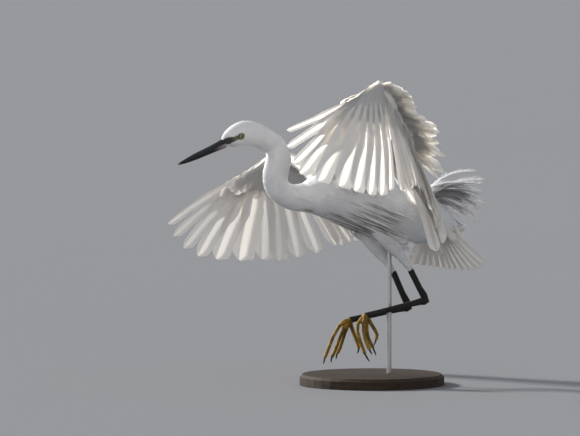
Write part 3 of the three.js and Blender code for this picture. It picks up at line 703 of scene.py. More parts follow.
class VaneShape:
    """Turns a Feather into a closed blade with a raised shaft, split a little along its edges."""

    def __init__(self, rows: int, columns: int, thickness: float, ragged: float = 0.0) -> None:
        """Keeps the resolution: rows along the shaft and an odd number of columns across it."""
        self.rows = rows
        self.columns = columns
        self.thickness = thickness
        self.ragged = ragged
        self.faces = self._faces()

    def _faces(self) -> Array:
        """The blade's faces, alike on its two sides, with a rim between them."""
        rows, columns = self.rows, self.columns
        half = rows * columns
        grid = np.arange(half).reshape(rows, columns)
        a, b, c, d = grid[:-1, :-1], grid[:-1, 1:], grid[1:, 1:], grid[1:, :-1]
        top = np.stack([a, b, c, d], -1).reshape(-1, 4)
        under = np.stack([d, c, b, a], -1).reshape(-1, 4) + half
        rim = np.concatenate([grid[0, ::-1], grid[1:, 0], grid[-1, 1:], grid[-2:0:-1, -1]])
        after = np.roll(rim, -1)
        wall = np.stack([rim, after, after + half, rim + half], -1)
        return np.concatenate([top, under, wall])

    def add(self, batch: Batch, feather: Feather, bake: Cell, random: np.random.Generator) -> None:
        """Adds one feather to a batch.

        Args:
            batch: what receives it.
            feather: its places and sizes.
            bake: the low corner and the size of its patch on the unwrapped skin.
            random: the seeded source of its ragged edge.
        """
        share = np.linspace(0, 1, self.rows) ** 0.9
        share[-1] = 1.0
        shaft = feather.shaft(share)
        along = unit(feather.tip - feather.root)
        level = unit(feather.outer - along * np.dot(feather.outer, along))
        above = np.cross(level, along)
        above = above if np.dot(above, feather.normal) > 0 else -above
        out = level * math.cos(feather.tilt) + above * math.sin(feather.tilt)
        face = above * math.cos(feather.tilt) - level * math.sin(feather.tilt)
        width = vane_width(share, feather.taper, feather.notch)
        across = np.linspace(-1, 1, self.columns)
        torn = 1 - self.ragged * random.random((self.rows, 2)) * (share[:, None] > 0.2)
        outward = across[None] * feather.out_width * torn[:, :1]
        inward = across[None] * feather.in_width * torn[:, 1:]
        reach = np.where(across[None] > 0, outward, inward) * width[:, None]
        widest = max(feather.out_width, feather.in_width)
        droop = -feather.cup * (across[None] ** 2) * width[:, None] * widest
        # barbs lean towards the tip, so the edges reach a little further along than the shaft
        lean = 0.35 * np.abs(reach) * (share[:, None] > 0.02) * (share[:, None] < 0.93)
        middle = shaft[:, None] + out * reach[..., None] + face * droop[..., None] + along * lean[..., None]
        ridge = 0.35 + 0.65 * np.exp(-(across[None] ** 2) * 30)
        thick = self.thickness * ridge * np.clip(1.15 - share[:, None], 0.25, 1)
        offset = face * (thick[..., None] * 0.5)
        points = np.concatenate([(middle + offset).reshape(-1, 3), (middle - offset).reshape(-1, 3)])
        lean_back = along * (-4 * feather.bow * (1 - 2 * share))[:, None]
        upward = face + lean_back[:, None] + out * (2 * feather.cup * across)[None, :, None]
        normals = np.concatenate([upward.reshape(-1, 3), -upward.reshape(-1, 3)])
        grid_v, grid_u = np.meshgrid(share, (across + 1) / 2, indexing="ij")
        coordinates = np.stack([grid_u, grid_v * feather.length], -1).reshape(-1, 2)
        patch = np.stack([bake[0] + grid_u * bake[2], bake[1] + grid_v * bake[3]], -1).reshape(-1, 2)
        faces = self.faces if np.dot(np.cross(out, along), face) > 0 else self.faces[:, ::-1]
        batch.add(points, faces, normals, np.tile(coordinates, (2, 1)), np.tile(patch, (2, 1)))


# Wings


def arm_point(wing: dict, reach: float) -> Array:
    """A point on the arm's bones: the wrist at 0, the elbow at 1 and the shoulder at 2."""
    shoulder, elbow, wrist = (vec(wing[key]) for key in ("shoulder", "elbow", "wrist"))
    return wrist + (elbow - wrist) * reach if reach < 1 else elbow + (shoulder - elbow) * (reach - 1)


def flight_feathers(wing: dict) -> list[Feather]:
    """The row of flight feathers of one wing, from the outermost primary to the last tertial."""
    wrist = vec(wing["wrist"])
    tips = np.array(wing["primaries"], float) * MM
    hand_end = wrist + unit(tips[0] * 0.6 + tips[1] * 0.4 - wrist) * HAND_LENGTH
    outer_widths = np.array([4.5, 7.5, 9.5, 11, 12, 12.5, 13, 13, 13, 13]) * MM
    inner_widths = np.array([14, 17, 20, 22, 23, 23, 22, 20, 19, 18]) * MM
    notches = [0.42, 0.40, 0.38, 0.30, 0.15, 0, 0, 0, 0, 0]
    roots, ends, sizes = [], [], []
    for k, tip in enumerate(tips):
        roots.append(hand_end + (wrist - hand_end) * (0.02 + k * 0.1))
        ends.append(tip)
        sizes.append((outer_widths[k], inner_widths[k], notches[k]))
    inner = Path(wing["inner"])
    random = np.random.default_rng(SEED + 8)
    for share in np.linspace(0, 1, INNER_FEATHERS):
        roots.append(arm_point(wing, 0.04 + share * 1.27))
        ends.append(inner.at(share) + random.normal(0, (1.4 + 3.0 * share**3) * MM, 3))
        narrow = 1 - 0.8 * max(0.0, share - 0.5)
        sizes.append((10 * MM * narrow, 16 * MM * narrow, 0.0))
    roots, ends = np.array(roots), np.array(ends)
    along = unit(ends - roots)
    middle = roots * 0.3 + ends * 0.7
    spread = np.gradient(middle, axis=0)
    spread = unit(spread - along * np.sum(spread * along, axis=1, keepdims=True))
    normals = np.cross(along, spread) * wing["dorsal"]
    return [
        Feather(roots[k], ends[k], normals[k], -spread[k], size[0], size[1], notch=size[2], sweep=0.015)
        for k, size in enumerate(sizes)
    ]


@dataclass
class Wing:
    """One wing: flight feathers on the hand and arm, and tiers of coverts on both faces."""

    side: Side
    lesser_rows: int = 9
    lesser_count: int = 44
    lesser_width: float = 4.4 * MM
    ruffled_width: float = 5.5 * MM
    flight_shape: VaneShape = field(default_factory=lambda: VaneShape(26, 9, 0.9 * MM, 0.05))
    covert_shape: VaneShape = field(default_factory=lambda: VaneShape(7, 5, 0.5 * MM, 0.06))
    small_shape: VaneShape = field(default_factory=lambda: VaneShape(5, 3, 0.4 * MM, 0.08))

    def __post_init__(self) -> None:
        """Works out the feather row and the seeded source."""
        self.wing = WINGS[self.side]
        self.feathers = flight_feathers(self.wing)
        self.random = np.random.default_rng(SEED + (0 if self.side is Side.LEFT else 1))

    def _cell(self, number: int, total: int) -> Cell:
        """The strip of the unwrapped wing that one flight feather fills."""
        return (0.01 + 0.98 * number / total, 0.52, 0.9 / total, 0.46)

    def _patch(self, across: float, along: float) -> Cell:
        """The small patch of one covert at its root's place on the unwrapped wing."""
        return (0.01 + 0.97 * across, 0.01 + 0.48 * along, SMALL_PATCH, SMALL_PATCH)

    def build_flight(self, materials: dict[str, bpy.types.Material]) -> None:
        """Builds the primaries and the arm's flight feathers as two pieces."""
        total = len(self.feathers)
        for part, chosen in (("hand", range(HAND_FEATHERS)), ("arm", range(HAND_FEATHERS, total))):
            batch = Batch(f"wing_{self.side.value}_{part}_quills")
            for k in chosen:
                self.flight_shape.add(batch, self.feathers[k], self._cell(k, total), self.random)
            batch.build(materials["flight"], "plumage", [f"wing_{self.side.value}_{part}"])

    def _between(self, place: float) -> Feather:
        """A feather blended from the two flight feathers on either side of a place in the row."""
        first = min(int(place), len(self.feathers) - 2)
        share = place - first
        a, b = self.feathers[first], self.feathers[first + 1]
        mix = {key: getattr(a, key) * (1 - share) + getattr(b, key) * share for key in ("root", "tip")}
        normal = unit(a.normal * (1 - share) + b.normal * share)
        outer = unit(a.outer * (1 - share) + b.outer * share)
        return Feather(mix["root"], mix["tip"], normal, outer, a.out_width, a.in_width)

    def _covert(self, place: float, face: int, tier: "Tier") -> Feather:
        """One covert of a tier, rooted at a place in the row of flight feathers."""
        guide = self._between(place)
        along = unit(guide.tip - guide.root)
        jitter = self.random.normal(0, 1, 4)
        up = guide.normal * face
        length = tier.length * (1 + 0.06 * jitter[0]) * (1.0 if face > 0 else 0.72)
        root = guide.root + along * (tier.start + 0.6 * MM * jitter[1]) + up * tier.rise
        lean = guide.outer * 0.05 * jitter[2]
        lift = tier.lift * (1.0 if face > 0 else 0.15) * (1 + 0.25 * jitter[3])
        tip = root + unit(along + lean) * length + up * lift
        return Feather(
            root, tip, up, guide.outer, tier.width, tier.width * 1.1,
            bow=0.04, tilt=face * math.radians(6), cup=0.12,
        )

    def _lesser(self, batch: Batch, face: int) -> None:
        """Rows of small feathers from the leading edge of the arm back to its bones."""
        edge, bone = Path(self.wing["edge"]), Path(self.wing["bone"])
        inner = len(self.feathers) - HAND_FEATHERS - 2
        loose = 9.0 if self.side is Side.LEFT and face > 0 else 1.5
        width = self.lesser_width
        for row in range(self.lesser_rows):
            depth = 0.02 + 0.95 * row / (self.lesser_rows - 1)
            for k in range(self.lesser_count):
                share = (k + 0.5 * (row % 2)) / self.lesser_count + 0.004 * self.random.normal()
                front, back = edge.at(share), bone.at(share)
                chord = back - front
                along = unit(chord)
                span = edge.tangent(share)
                normal = unit(np.cross(along, span)) * -self.wing["dorsal"] * face
                bulge = math.sin(math.pi * min(1.0, depth + 0.15)) ** 0.5
                root = front + chord * depth + normal * (5.5 * MM * bulge)
                guide = self._between(HAND_FEATHERS + (1 - share) * inner)
                lie = unit(guide.tip - guide.root)
                heading = unit(along * (1 - 0.6 * depth) + lie * (0.25 + 0.75 * depth))
                heading = unit(heading + 0.08 * self.random.normal(0, 1, 3))
                length = (15 + 14 * depth) * MM * (1 + 0.1 * self.random.normal())
                lift = (1.5 + loose * depth * abs(self.random.normal())) * MM
                tip = root + heading * length + normal * lift
                outer = unit(np.cross(normal, heading))
                feather = Feather(root, tip, normal, outer, width, width, bow=0.08, tilt=0.0, cup=0.15)
                self.small_shape.add(batch, feather, self._patch(share, depth * 0.4), self.random)

    def _ruffled(self, batch: Batch) -> None:
        """Coverts blown up off the forearm and elbow, in layers that get shorter."""
        tips = Path(self.wing["ruffled"])
        bones = unit(vec(self.wing["elbow"]) - vec(self.wing["wrist"]))
        width = self.ruffled_width
        for layer, (reach, count) in enumerate(RUFFLED_LAYERS):
            for k in range(count):
                share = min(1.0, max(0.0, (k + 0.5) / count + 0.012 * self.random.normal()))
                root = arm_point(self.wing, 0.03 + 1.22 * share)
                lie = unit(tips.at(share) - root)
                full = float(np.linalg.norm(tips.at(share) - root))
                length = full * reach * (1 + 0.10 * self.random.normal())
                lie = unit(lie + 0.09 * self.random.normal(0, 1, 3))
                outer = -unit(bones - lie * float(np.dot(bones, lie)))
                normal = -np.cross(lie, outer) * self.wing["dorsal"]
                start = root + normal * (1.2 + 1.5 * layer) * MM
                puff = 1 + 2.5 * abs(self.random.normal())
                tip = start + lie * length + normal * puff * MM
                bow = 0.08 + 0.03 * self.random.normal()
                tilt = math.radians(5)
                feather = Feather(start, tip, normal, outer, width, width, bow=bow, tilt=tilt, cup=0.2)
                self.covert_shape.add(batch, feather, self._patch(share, 0.8 + 0.04 * layer), self.random)

    def build_coverts(self, materials: dict[str, bpy.types.Material]) -> None:
        """Builds the tiers of coverts, one piece for each face of the wing."""
        total = len(self.feathers) - 1
        for face, name in ((1, "upper"), (-1, "under")):
            batch = Batch(f"wing_{self.side.value}_{name}_coverts")
            for tier in TIERS:
                places = np.arange(tier.first * total, tier.last * total, tier.step)
                shape = self.covert_shape if tier.length > 30 * MM else self.small_shape
                for place in places:
                    shifted = float(np.clip(place + 0.1 * self.random.normal(), 0, total))
                    feather = self._covert(shifted, face, tier)
                    patch = self._patch(place / total, 0.5 + tier.start / (60 * MM) * 0.3)
                    shape.add(batch, feather, patch, self.random)
            self._lesser(batch, face)
            if face > 0 and "ruffled" in self.wing:
                self._ruffled(batch)
            batch.build(materials["covert"], "plumage")


@dataclass(frozen=True)
class Tier:
    """One row of coverts over the flight feathers: where it starts and how it lies."""

    first: float
    last: float
    step: float
    start: float
    length: float
    width: float
    rise: float
    lift: float


TIERS = [
    Tier(0.03, 0.36, 0.34, 6 * MM, 74 * MM, 6.0 * MM, 1.4 * MM, 1.0 * MM),
    Tier(0.02, 0.36, 0.30, 2 * MM, 48 * MM, 5.0 * MM, 2.4 * MM, 1.0 * MM),
    Tier(0.00, 0.36, 0.24, 0 * MM, 28 * MM, 4.2 * MM, 3.4 * MM, 0.6 * MM),
    Tier(0.00, 0.36, 0.22, -6 * MM, 18 * MM, 3.8 * MM, 4.4 * MM, 0.0 * MM),
    Tier(0.36, 1.00, 0.34, 4 * MM, 58 * MM, 6.5 * MM, 2.6 * MM, 1.6 * MM),
    Tier(0.36, 1.00, 0.30, 2 * MM, 42 * MM, 5.5 * MM, 4.2 * MM, 2.0 * MM),
    Tier(0.36, 1.00, 0.26, 0 * MM, 28 * MM, 4.6 * MM, 5.6 * MM, 2.4 * MM),
]


# Flesh and coat


@dataclass
class Flesh:
    """One skin over head, neck, trunk, thighs and wing arms, built up as clay and smoothed."""

    voxel: float = 2.2 * MM
    smoothing: int = 24
    web_lumps: int = 22

    def _ball(
        self, at: Array, tangent: Array, left: Array, width: float, height: float, length: float
    ) -> bpy.types.Object:
        """Adds one egg-shaped lump of clay, turned to the body's line."""
        across = unit(left - tangent * float(np.dot(left, tangent)))
        up = np.cross(across, tangent)
        turn = Matrix([[across[i], tangent[i], up[i]] for i in range(3)]).to_4x4()
        bpy.ops.mesh.primitive_uv_sphere_add(segments=28, ring_count=14, radius=1.0)
        ball = bpy.context.object
        place = Matrix.Translation(Vector(at)) @ turn @ Matrix.Diagonal((width, length, height, 1.0))
        ball.data.transform(place)
        return ball

    def _chain(
        self, stations: Sequence[Station], left: Array, count: int, inset: float
    ) -> list[bpy.types.Object]:
        """Adds a row of lumps along a path of stations."""
        path = Path(stations)
        lumps = []
        for share in np.linspace(0, 1, count):
            x, y, z, width, height = path.at(share)
            tangent = path.tangent(share)
            length = 0.9 * min(width, height)
            middle = np.array([x, y, z])
            lumps.append(self._ball(middle, tangent, left, width - inset, height - inset, length))
        return lumps

    def build(self, material: bpy.types.Material) -> bpy.types.Object:
        """Builds the skin and replaces the CAD's nodes of flesh."""
        bpy.ops.object.select_all(action="DESELECT")
        lumps = self._chain(HEAD_STATIONS, HEAD_LEFT, 34, COAT_DEPTH * 0.5)
        lumps += self._chain(NECK_STATIONS, unit(HEAD_LEFT + BODY_LEFT), 70, COAT_DEPTH)
        lumps += self._chain(TORSO_STATIONS, BODY_LEFT, 60, COAT_DEPTH)
        for side in Side:
            lumps += self._chain(THIGHS[side], BODY_LEFT, 40, COAT_DEPTH * 0.5)
            lumps += self._wing(WINGS[side])
            lumps += self._web(WINGS[side])
        for lump in lumps:
            lump.select_set(True)
        bpy.context.view_layer.objects.active = lumps[0]
        bpy.ops.object.join()
        skin = bpy.context.object
        skin.name = skin.data.name = "skin"
        remesh = skin.modifiers.new("remesh", "REMESH")
        remesh.mode = "VOXEL"
        remesh.voxel_size = self.voxel
        smooth = skin.modifiers.new("smooth", "SMOOTH")
        smooth.factor = 0.5
        smooth.iterations = self.smoothing
        for name in ("remesh", "smooth"):
            bpy.ops.object.modifier_apply(modifier=name)
        bpy.ops.object.shade_smooth()
        nodes = ["torso", "neck_lower", "neck_upper", "head", "thigh_left", "thigh_right"]
        return dress(skin, material, nodes)

    def _wing(self, wing: dict) -> list[bpy.types.Object]:
        """Adds lumps along the upper arm, the forearm and the hand."""
        upper_arm = np.mean([wing["shoulder"], wing["elbow"]], 0)
        hand_end = np.array(flight_feathers(wing)[0].root) / MM
        elbow, wrist = (*wing["elbow"], 8, 7), (*wing["wrist"], 6.5, 5.5)
        lumps = self._chain([(*wing["shoulder"], 15, 14), (*upper_arm, 10, 9), elbow], UP, 14, 0)
        lumps += self._chain([elbow, wrist], UP, 18, 0)
        return lumps + self._chain([wrist, (*hand_end, 3, 2.5)], UP, 16, 0)

    def _web(self, wing: dict) -> list[bpy.types.Object]:
        """Adds flat lumps across the fold of skin between the wing's leading edge and its bones."""
        edge, bone = Path(wing["edge"]), Path(wing["bone"])
        lumps = []
        for share in np.linspace(0, 1, self.web_lumps):
            front, back = edge.at(share), bone.at(share)
            middle = (front + back) / 2
            chord = back - front
            half = float(np.linalg.norm(chord)) / 2
            thick = (8 - 4 * share) * MM
            lumps.append(self._ball(middle, edge.tangent(share), unit(chord), half, thick, 9 * MM))
        return lumps


@dataclass(frozen=True)
class Patch:
    """A stretch of the coat along the body: its place, feather size and how far the tips stand out."""

    start: float
    length: float
    width: float
    lift: float


@dataclass
class Coat:
    """Small feathers over the skin, which follow the lie of the plumage from bill to tail."""

    skin: bpy.types.Object

    def __post_init__(self) -> None:
        """Reads the skin's faces once and seeds the coat's random draws."""
        mesh = self.skin.data
        mesh.calc_loop_triangles()
        count = len(mesh.vertices)
        points = np.empty(count * 3)
        mesh.vertices.foreach_get("co", points)
        normals = np.empty(count * 3)
        mesh.vertex_normals.foreach_get("vector", normals)
        triangles = np.empty(len(mesh.loop_triangles) * 3, int)
        mesh.loop_triangles.foreach_get("vertices", triangles)
        self.corners = points.reshape(-1, 3)[triangles.reshape(-1, 3)]
        self.normals = normals.reshape(-1, 3)[triangles.reshape(-1, 3)]
        self.random = np.random.default_rng(SEED + 5)

    def scatter(self, count: int, inside: Callable[[Array], Array]) -> tuple[Array, Array]:
        """Draws evenly spread places on the skin where `inside` allows them.

        Args:
            count: how many places to draw over the allowed faces.
            inside: says for each face middle whether it may carry feathers.

        Returns:
            The places and their normals.
        """
        allowed = inside(self.corners.mean(axis=1))
        corners, normals = self.corners[allowed], self.normals[allowed]
        sides = corners[:, 1:] - corners[:, :1]
        area = np.linalg.norm(np.cross(sides[:, 0], sides[:, 1]), axis=1)
        running = np.cumsum(area) / area.sum()
        even = (np.arange(count) + self.random.random(count)) / count
        chosen = np.searchsorted(running, even)
        weights = self.random.dirichlet((1, 1, 1), count)[..., None]
        return (corners[chosen] * weights).sum(axis=1), unit((normals[chosen] * weights).sum(axis=1))


def nearest_share(path: Path, places: Array, samples: int = 160) -> tuple[Array, Array, Array]:
    """For each place, the share, middle point and direction of the nearest point on a path."""
    shares = np.linspace(0, 1, samples)
    line = path.at(shares)[:, :3]
    gaps = np.linalg.norm(places[:, None] - line[None], axis=2)
    chosen = gaps.argmin(axis=1)
    return shares[chosen], line[chosen], path.tangent(shares[chosen])


TUFT_RING = np.array([(0.0, 0.0), (0.28, 0.8), (0.68, 1.0), (1.0, 0.0), (0.68, -1.0), (0.28, -0.8)])


def add_tufts(
    batch: Batch, places: Array, normals: Array, lie: Array,
    lengths: Array, widths: Array, lifts: Array, bake: Array,
) -> None:
    """Adds many small feathers at once, each a thin closed leaf with a raised middle.

    Args:
        batch: what receives them.
        places: their roots.
        normals: the skin's normal at each.
        lie: the direction that each points in.
        lengths: their lengths.
        widths: their half widths.
        lifts: how far each tip stands off the skin.
        bake: each root's place on the unwrapped skin.
    """
    count = len(places)
    flat = unit(lie - normals * np.sum(lie * normals, axis=1, keepdims=True))
    across = np.cross(normals, flat)
    along_share, side_share = TUFT_RING[:, 0], TUFT_RING[:, 1]
    rise = lifts[:, None] * along_share[None] ** 1.5 - 0.3 * MM * (along_share[None] < 0.01)
    ring = (
        places[:, None]
        + flat[:, None] * (lengths[:, None] * along_share[None])[..., None]
        + across[:, None] * (widths[:, None] * side_share[None])[..., None]
        + normals[:, None] * rise[..., None]
    )
    middle = places + flat * (lengths * 0.5)[:, None] + normals * (lifts * 0.36)[:, None]
    thick = (0.12 * widths)[:, None]
    top = middle + normals * (thick + 0.12 * MM)
    under = middle - normals * 0.12 * MM
    points = np.concatenate([ring, top[:, None], under[:, None]], axis=1)
    ring_size = len(TUFT_RING)
    ring_index = np.arange(ring_size)
    after = np.roll(ring_index, -1)
    top_index, under_index = np.full(ring_size, ring_size), np.full(ring_size, ring_size + 1)
    upper = np.stack([after, ring_index, top_index, top_index], -1)
    lower = np.stack([ring_index, after, under_index, under_index], -1)
    faces = np.concatenate([upper, lower])
    all_faces = (faces[None] + (np.arange(count) * (ring_size + 2))[:, None, None]).reshape(-1, 4)
    u = np.concatenate([(side_share + 1) / 2, [0.5, 0.5]])
    v = np.concatenate([along_share, [0.5, 0.5]])
    barbs = np.stack([np.tile(u, (count, 1)), v[None] * lengths[:, None]], -1).reshape(-1, 2)
    patch = bake[:, None] + np.stack([u, v], -1)[None] * SMALL_PATCH
    sideways = across[:, None] * (0.30 * np.append(side_share, [0, 0]))[None, :, None]
    lengthways = flat[:, None] * (0.24 * (np.append(along_share, [0.5, 0.5]) - 0.5))[None, :, None]
    shading = normals[:, None] + sideways + lengthways
    batch.add(points.reshape(-1, 3), all_faces, shading.reshape(-1, 3), barbs, patch.reshape(-1, 2))


@dataclass
class BodyCoat:
    """The coat of the head, neck, trunk and thighs, in pieces of their own."""

    coat: Coat

    def _inside(self, path: Path, reach: float) -> Callable[[Array], Array]:
        """A test for places whose nearest point on a path is within its own size."""
        def test(places: Array) -> Array:
            """Says which places lie on this stretch of the body."""
            share, line, _ = nearest_share(path, places)
            sizes = path.at(share)[:, 3:5].max(axis=1)
            gap = np.linalg.norm(places - line, axis=1)
            return (gap < sizes * reach + 2 * MM) & ~bare_place(places)
        return test

    def build_stretch(
        self, name: str, stations: Sequence[Station], left: Array, count: int,
        patches: Sequence[Patch], material: bpy.types.Material, row: int,
    ) -> None:
        """Builds the coat over one path of stations.

        Args:
            name: the piece's name.
            stations: the path that it follows.
            left: the direction out of the bird's left side.
            count: how many feathers.
            patches: feather sizes at shares of the path.
            material: the finish.
            row: which band of the unwrapped skin it takes.
        """
        path = Path(stations)
        random = self.coat.random
        places, normals = self.coat.scatter(count, self._inside(path, 1.12))
        share, line, tangent = nearest_share(path, places)
        flank = np.abs(np.sum(normals * tangent, axis=1)) < 0.86
        places, normals, share = places[flank], normals[flank], share[flank]
        line, tangent = line[flank], tangent[flank]
        keys = np.array([patch.start for patch in patches])
        lengths = np.interp(share, keys, [patch.length for patch in patches])
        widths = np.interp(share, keys, [patch.width for patch in patches])
        lifts = np.interp(share, keys, [patch.lift for patch in patches])
        vary = random.normal(1, 0.16, (3, len(places)))
        lie = tangent + 0.05 * random.normal(0, 1, places.shape)
        up = np.cross(left, tangent)
        angle = np.arctan2(np.sum((places - line) * up, axis=1), np.sum((places - line) * left, axis=1))
        round_body = 0.01 + 0.97 * (angle / (2 * math.pi) + 0.5)
        bake = np.stack([round_body, 0.01 + 0.24 * share + 0.245 * row], -1)
        batch = Batch(name)
        lengths, widths, lifts = lengths * vary[0], widths * vary[1], lifts * np.abs(vary[2])
        add_tufts(batch, places, normals, lie, lengths, widths, lifts, bake)
        batch.build(material, "plumage")


def bare_place(places: Array) -> Array:
    """Says which places are bare skin: the lores, the eyes and the bill's root."""
    bare = np.zeros(len(places), bool)
    for centre, radius in LORES:
        bare |= np.linalg.norm(places - centre, axis=1) < radius
    for side in (1, -1):
        eye = EYE_MIDDLE + side * HEAD_LEFT * (EYE_OFFSET + 2 * MM)
        bare |= np.linalg.norm(places - eye, axis=1) < EYE_CLEARING
    return bare


# Tail and plumes


@dataclass
class Tail:
    """Twelve tail feathers in a fan, with coverts above and below their roots."""

    shape: VaneShape = field(default_factory=lambda: VaneShape(18, 7, 0.8 * MM, 0.10))
    small: VaneShape = field(default_factory=lambda: VaneShape(7, 5, 0.5 * MM, 0.10))

    def _feathers(self) -> list[Feather]:
        """The fan, from the near edge to the far edge."""
        near, middle, far = TAIL_DIRECTIONS
        across = unit(far - near)
        fan = []
        for share in np.linspace(0, 1, TAIL_FEATHERS):
            along = near * (1 - share) * (1 - 2 * share) + middle * 4 * share * (1 - share)
            along = unit(along + far * share * (2 * share - 1))
            root = TAIL_ROOT + across * (share - 0.5) * 14 * MM
            normal = -unit(np.cross(along, across))
            outer = across * (-1 if share < 0.5 else 1)
            tip = root + along * TAIL_LENGTH
            tilt = math.radians(6)
            fan.append(Feather(root, tip, normal, outer, 7 * MM, 9.5 * MM, bow=0.03, tilt=tilt))
        return fan

    def build(self, materials: dict[str, bpy.types.Material]) -> None:
        """Builds the fan and its coverts."""
        random = np.random.default_rng(SEED + 3)
        fan = self._feathers()
        batch = Batch("tail_quills")
        for k, feather in enumerate(fan):
            self.shape.add(batch, feather, (0.01 + 0.08 * k, 0.05, 0.07, 0.9), random)
        batch.build(materials["flight"], "plumage", ["tail"])
        cover = Batch("tail_coverts")
        for face, length, lift, count in TAIL_COVERTS:
            for k in range(count):
                place = (k + 0.5) / count * (TAIL_FEATHERS - 1)
                guide = fan[int(round(place))]
                along = unit(guide.tip - guide.root + 0.006 * random.normal(0, 1, 3))
                root = guide.root - along * 8 * MM + guide.normal * face * lift * 0.5 * MM
                tip = root + along * length * MM + guide.normal * face * lift * 0.8 * MM
                normal = guide.normal * face
                feather = Feather(root, tip, normal, guide.outer, 6 * MM, 6 * MM, tilt=0.05, cup=0.2)
                bake = (0.01 + 0.97 * k / count, 0.1 + length / 100, SMALL_PATCH, SMALL_PATCH)
                self.small.add(cover, feather, bake, random)
        cover.build(materials["covert"], "plumage")


@dataclass
class Plumes:
    """Loose plumes of the back, each a thin shaft with separate soft barbs."""

    count: int = 46
    barbs: int = 40

    def build(self, material: bpy.types.Material) -> None:
        """Builds all plumes as one piece."""
        random = np.random.default_rng(SEED + 4)
        batch = Batch("back_plumes")
        strand = VaneShape(8, 3, 0.35 * MM)
        barb = VaneShape(4, 3, 0.2 * MM)
        for k in range(self.count):
            side = (k / (self.count - 1) - 0.5) * 2
            back = random.random() * 26
            root = vec((60 + back, 33 + back * 0.58, 274 - back * 0.35)) - BODY_LEFT * side * 22 * MM
            lift = 0.75 * (random.random() - 0.42)
            along = unit(np.array([0.85 + 0.2 * random.random(), 0.42 - 0.25 * side, -0.1 + lift]))
            normal = unit(np.cross(along, BODY_LEFT))
            normal = normal if normal[2] > 0 else -normal
            outer = unit(np.cross(normal, along))
            length = (60 + 36 * random.random()) * MM
            bake = (0.02 + 0.95 * k / self.count, 0.5, SMALL_PATCH, SMALL_PATCH)
            tip = root + along * length
            plume = Feather(root, tip, normal, outer, 0.9 * MM, 0.9 * MM, bow=0.12, tilt=0.0)
            strand.add(batch, plume, bake, random)
            for share in np.linspace(0.15, 0.97, self.barbs):
                start = plume.shaft(np.array([share]))[0]
                for way in (-1, 1):
                    splay = outer * way * (0.35 + 0.3 * random.random())
                    heading = unit(along + splay + normal * random.normal(0, 0.2))
                    reach = (17 - 9 * share) * MM * (0.7 + 0.5 * random.random())
                    end = start + heading * reach
                    level = unit(np.cross(normal, heading))
                    hair = Feather(start, end, normal, level, 0.5 * MM, 0.5 * MM, bow=0.1)
                    barb.add(batch, hair, bake, random)
        batch.build(material, "plumage")


@dataclass
class BreastPlumes:
    """Long soft feathers from the lower breast back to the thighs, every second one dark as painted shade
    between them.
    """

    count: int = 420

    def build(self, coat: Coat, materials: dict[str, bpy.types.Material]) -> None:
        """Builds the plumes over the lower trunk, every second one in a dark tone painted as the shade
        between plumes.
        """
        random = np.random.default_rng(SEED + 6)
        path = Path(TORSO_STATIONS)
        down = -np.cross(BODY_LEFT, path.tangent(0.5))

        def low(places: Array) -> Array:
            """Says which places lie on the underside between breast and thighs."""
            share, line, _ = nearest_share(path, places)
            return (share < 0.42) & (((places - line) @ down) > 8 * MM) & ~bare_place(places)

        places, normals = coat.scatter(self.count, low)
        share, _, tangent = nearest_share(path, places)
        batches = {"down": Batch("breast_plumes"), "shade_strand": Batch("breast_painted_shade")}
        shape = VaneShape(9, 3, 0.4 * MM)
        for k in range(len(places)):
            # Every second plume is a narrow dark strand: painted shade in the gaps between the white
            # plumes.
            kind = "shade_strand" if k % 2 == 0 else "down"
            width = (0.45 if kind == "shade_strand" else 1.2) * MM
            lie = unit(tangent[k] + down * 0.16 + 0.045 * random.normal(0, 1, 3) - normals[k] * 0.03)
            length = (44 + 34 * random.random()) * MM
            root = places[k] + normals[k] * 0.9 * MM
            tip = places[k] + lie * length + normals[k] * (1.2 + 1.0 * random.random()) * MM
            outer = unit(np.cross(normals[k], lie))
            tilt = random.normal(0, 0.15)
            feather = Feather(root, tip, normals[k], outer, width, width, bow=0.02, tilt=tilt, taper=1.5)
            bake = (0.02 + 0.95 * k / self.count, 0.02 + share[k] * 0.9, SMALL_PATCH, SMALL_PATCH)
            shape.add(batches[kind], feather, bake, random)
        for kind, batch in batches.items():
            batch.build(materials[kind], "plumage")


# Bill, eyes, legs and feet


@dataclass(frozen=True)
class Refined:
    """A CAD node taken over as a fine smooth surface."""

    node: str
    slot: str
    voxel: float
    smoothing: int
    grow: float = 0.0

    def build(self, material: bpy.types.Material) -> bpy.types.Object:
        """Copies the node's mesh, remeshes and smooths it, and lets the copy stand for the node."""
        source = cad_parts[self.node]
        bpy.ops.object.select_all(action="DESELECT")
        piece = bpy.data.objects.new(f"{self.node}_surface", source.data.copy())
        piece.data.transform(source.matrix_world)
        bpy.context.scene.collection.objects.link(piece)
        piece.select_set(True)
        bpy.context.view_layer.objects.active = piece
        bpy.ops.object.mode_set(mode="EDIT")
        bpy.ops.mesh.select_all(action="SELECT")
        bpy.ops.mesh.remove_doubles(threshold=1e-6)
        bpy.ops.object.mode_set(mode="OBJECT")
        remesh = piece.modifiers.new("remesh", "REMESH")
        remesh.mode = "VOXEL"
        remesh.voxel_size = self.voxel
        smooth = piece.modifiers.new("smooth", "LAPLACIANSMOOTH")
        smooth.iterations = self.smoothing
        smooth.lambda_factor = 0.6
        if self.grow:
            swell = piece.modifiers.new("swell", "DISPLACE")
            swell.mid_level = 0.0
            swell.strength = self.grow
        for name in [modifier.name for modifier in piece.modifiers]:
            bpy.ops.object.modifier_apply(modifier=name)
        bpy.ops.object.shade_smooth()
        return dress(piece, material, [self.node])


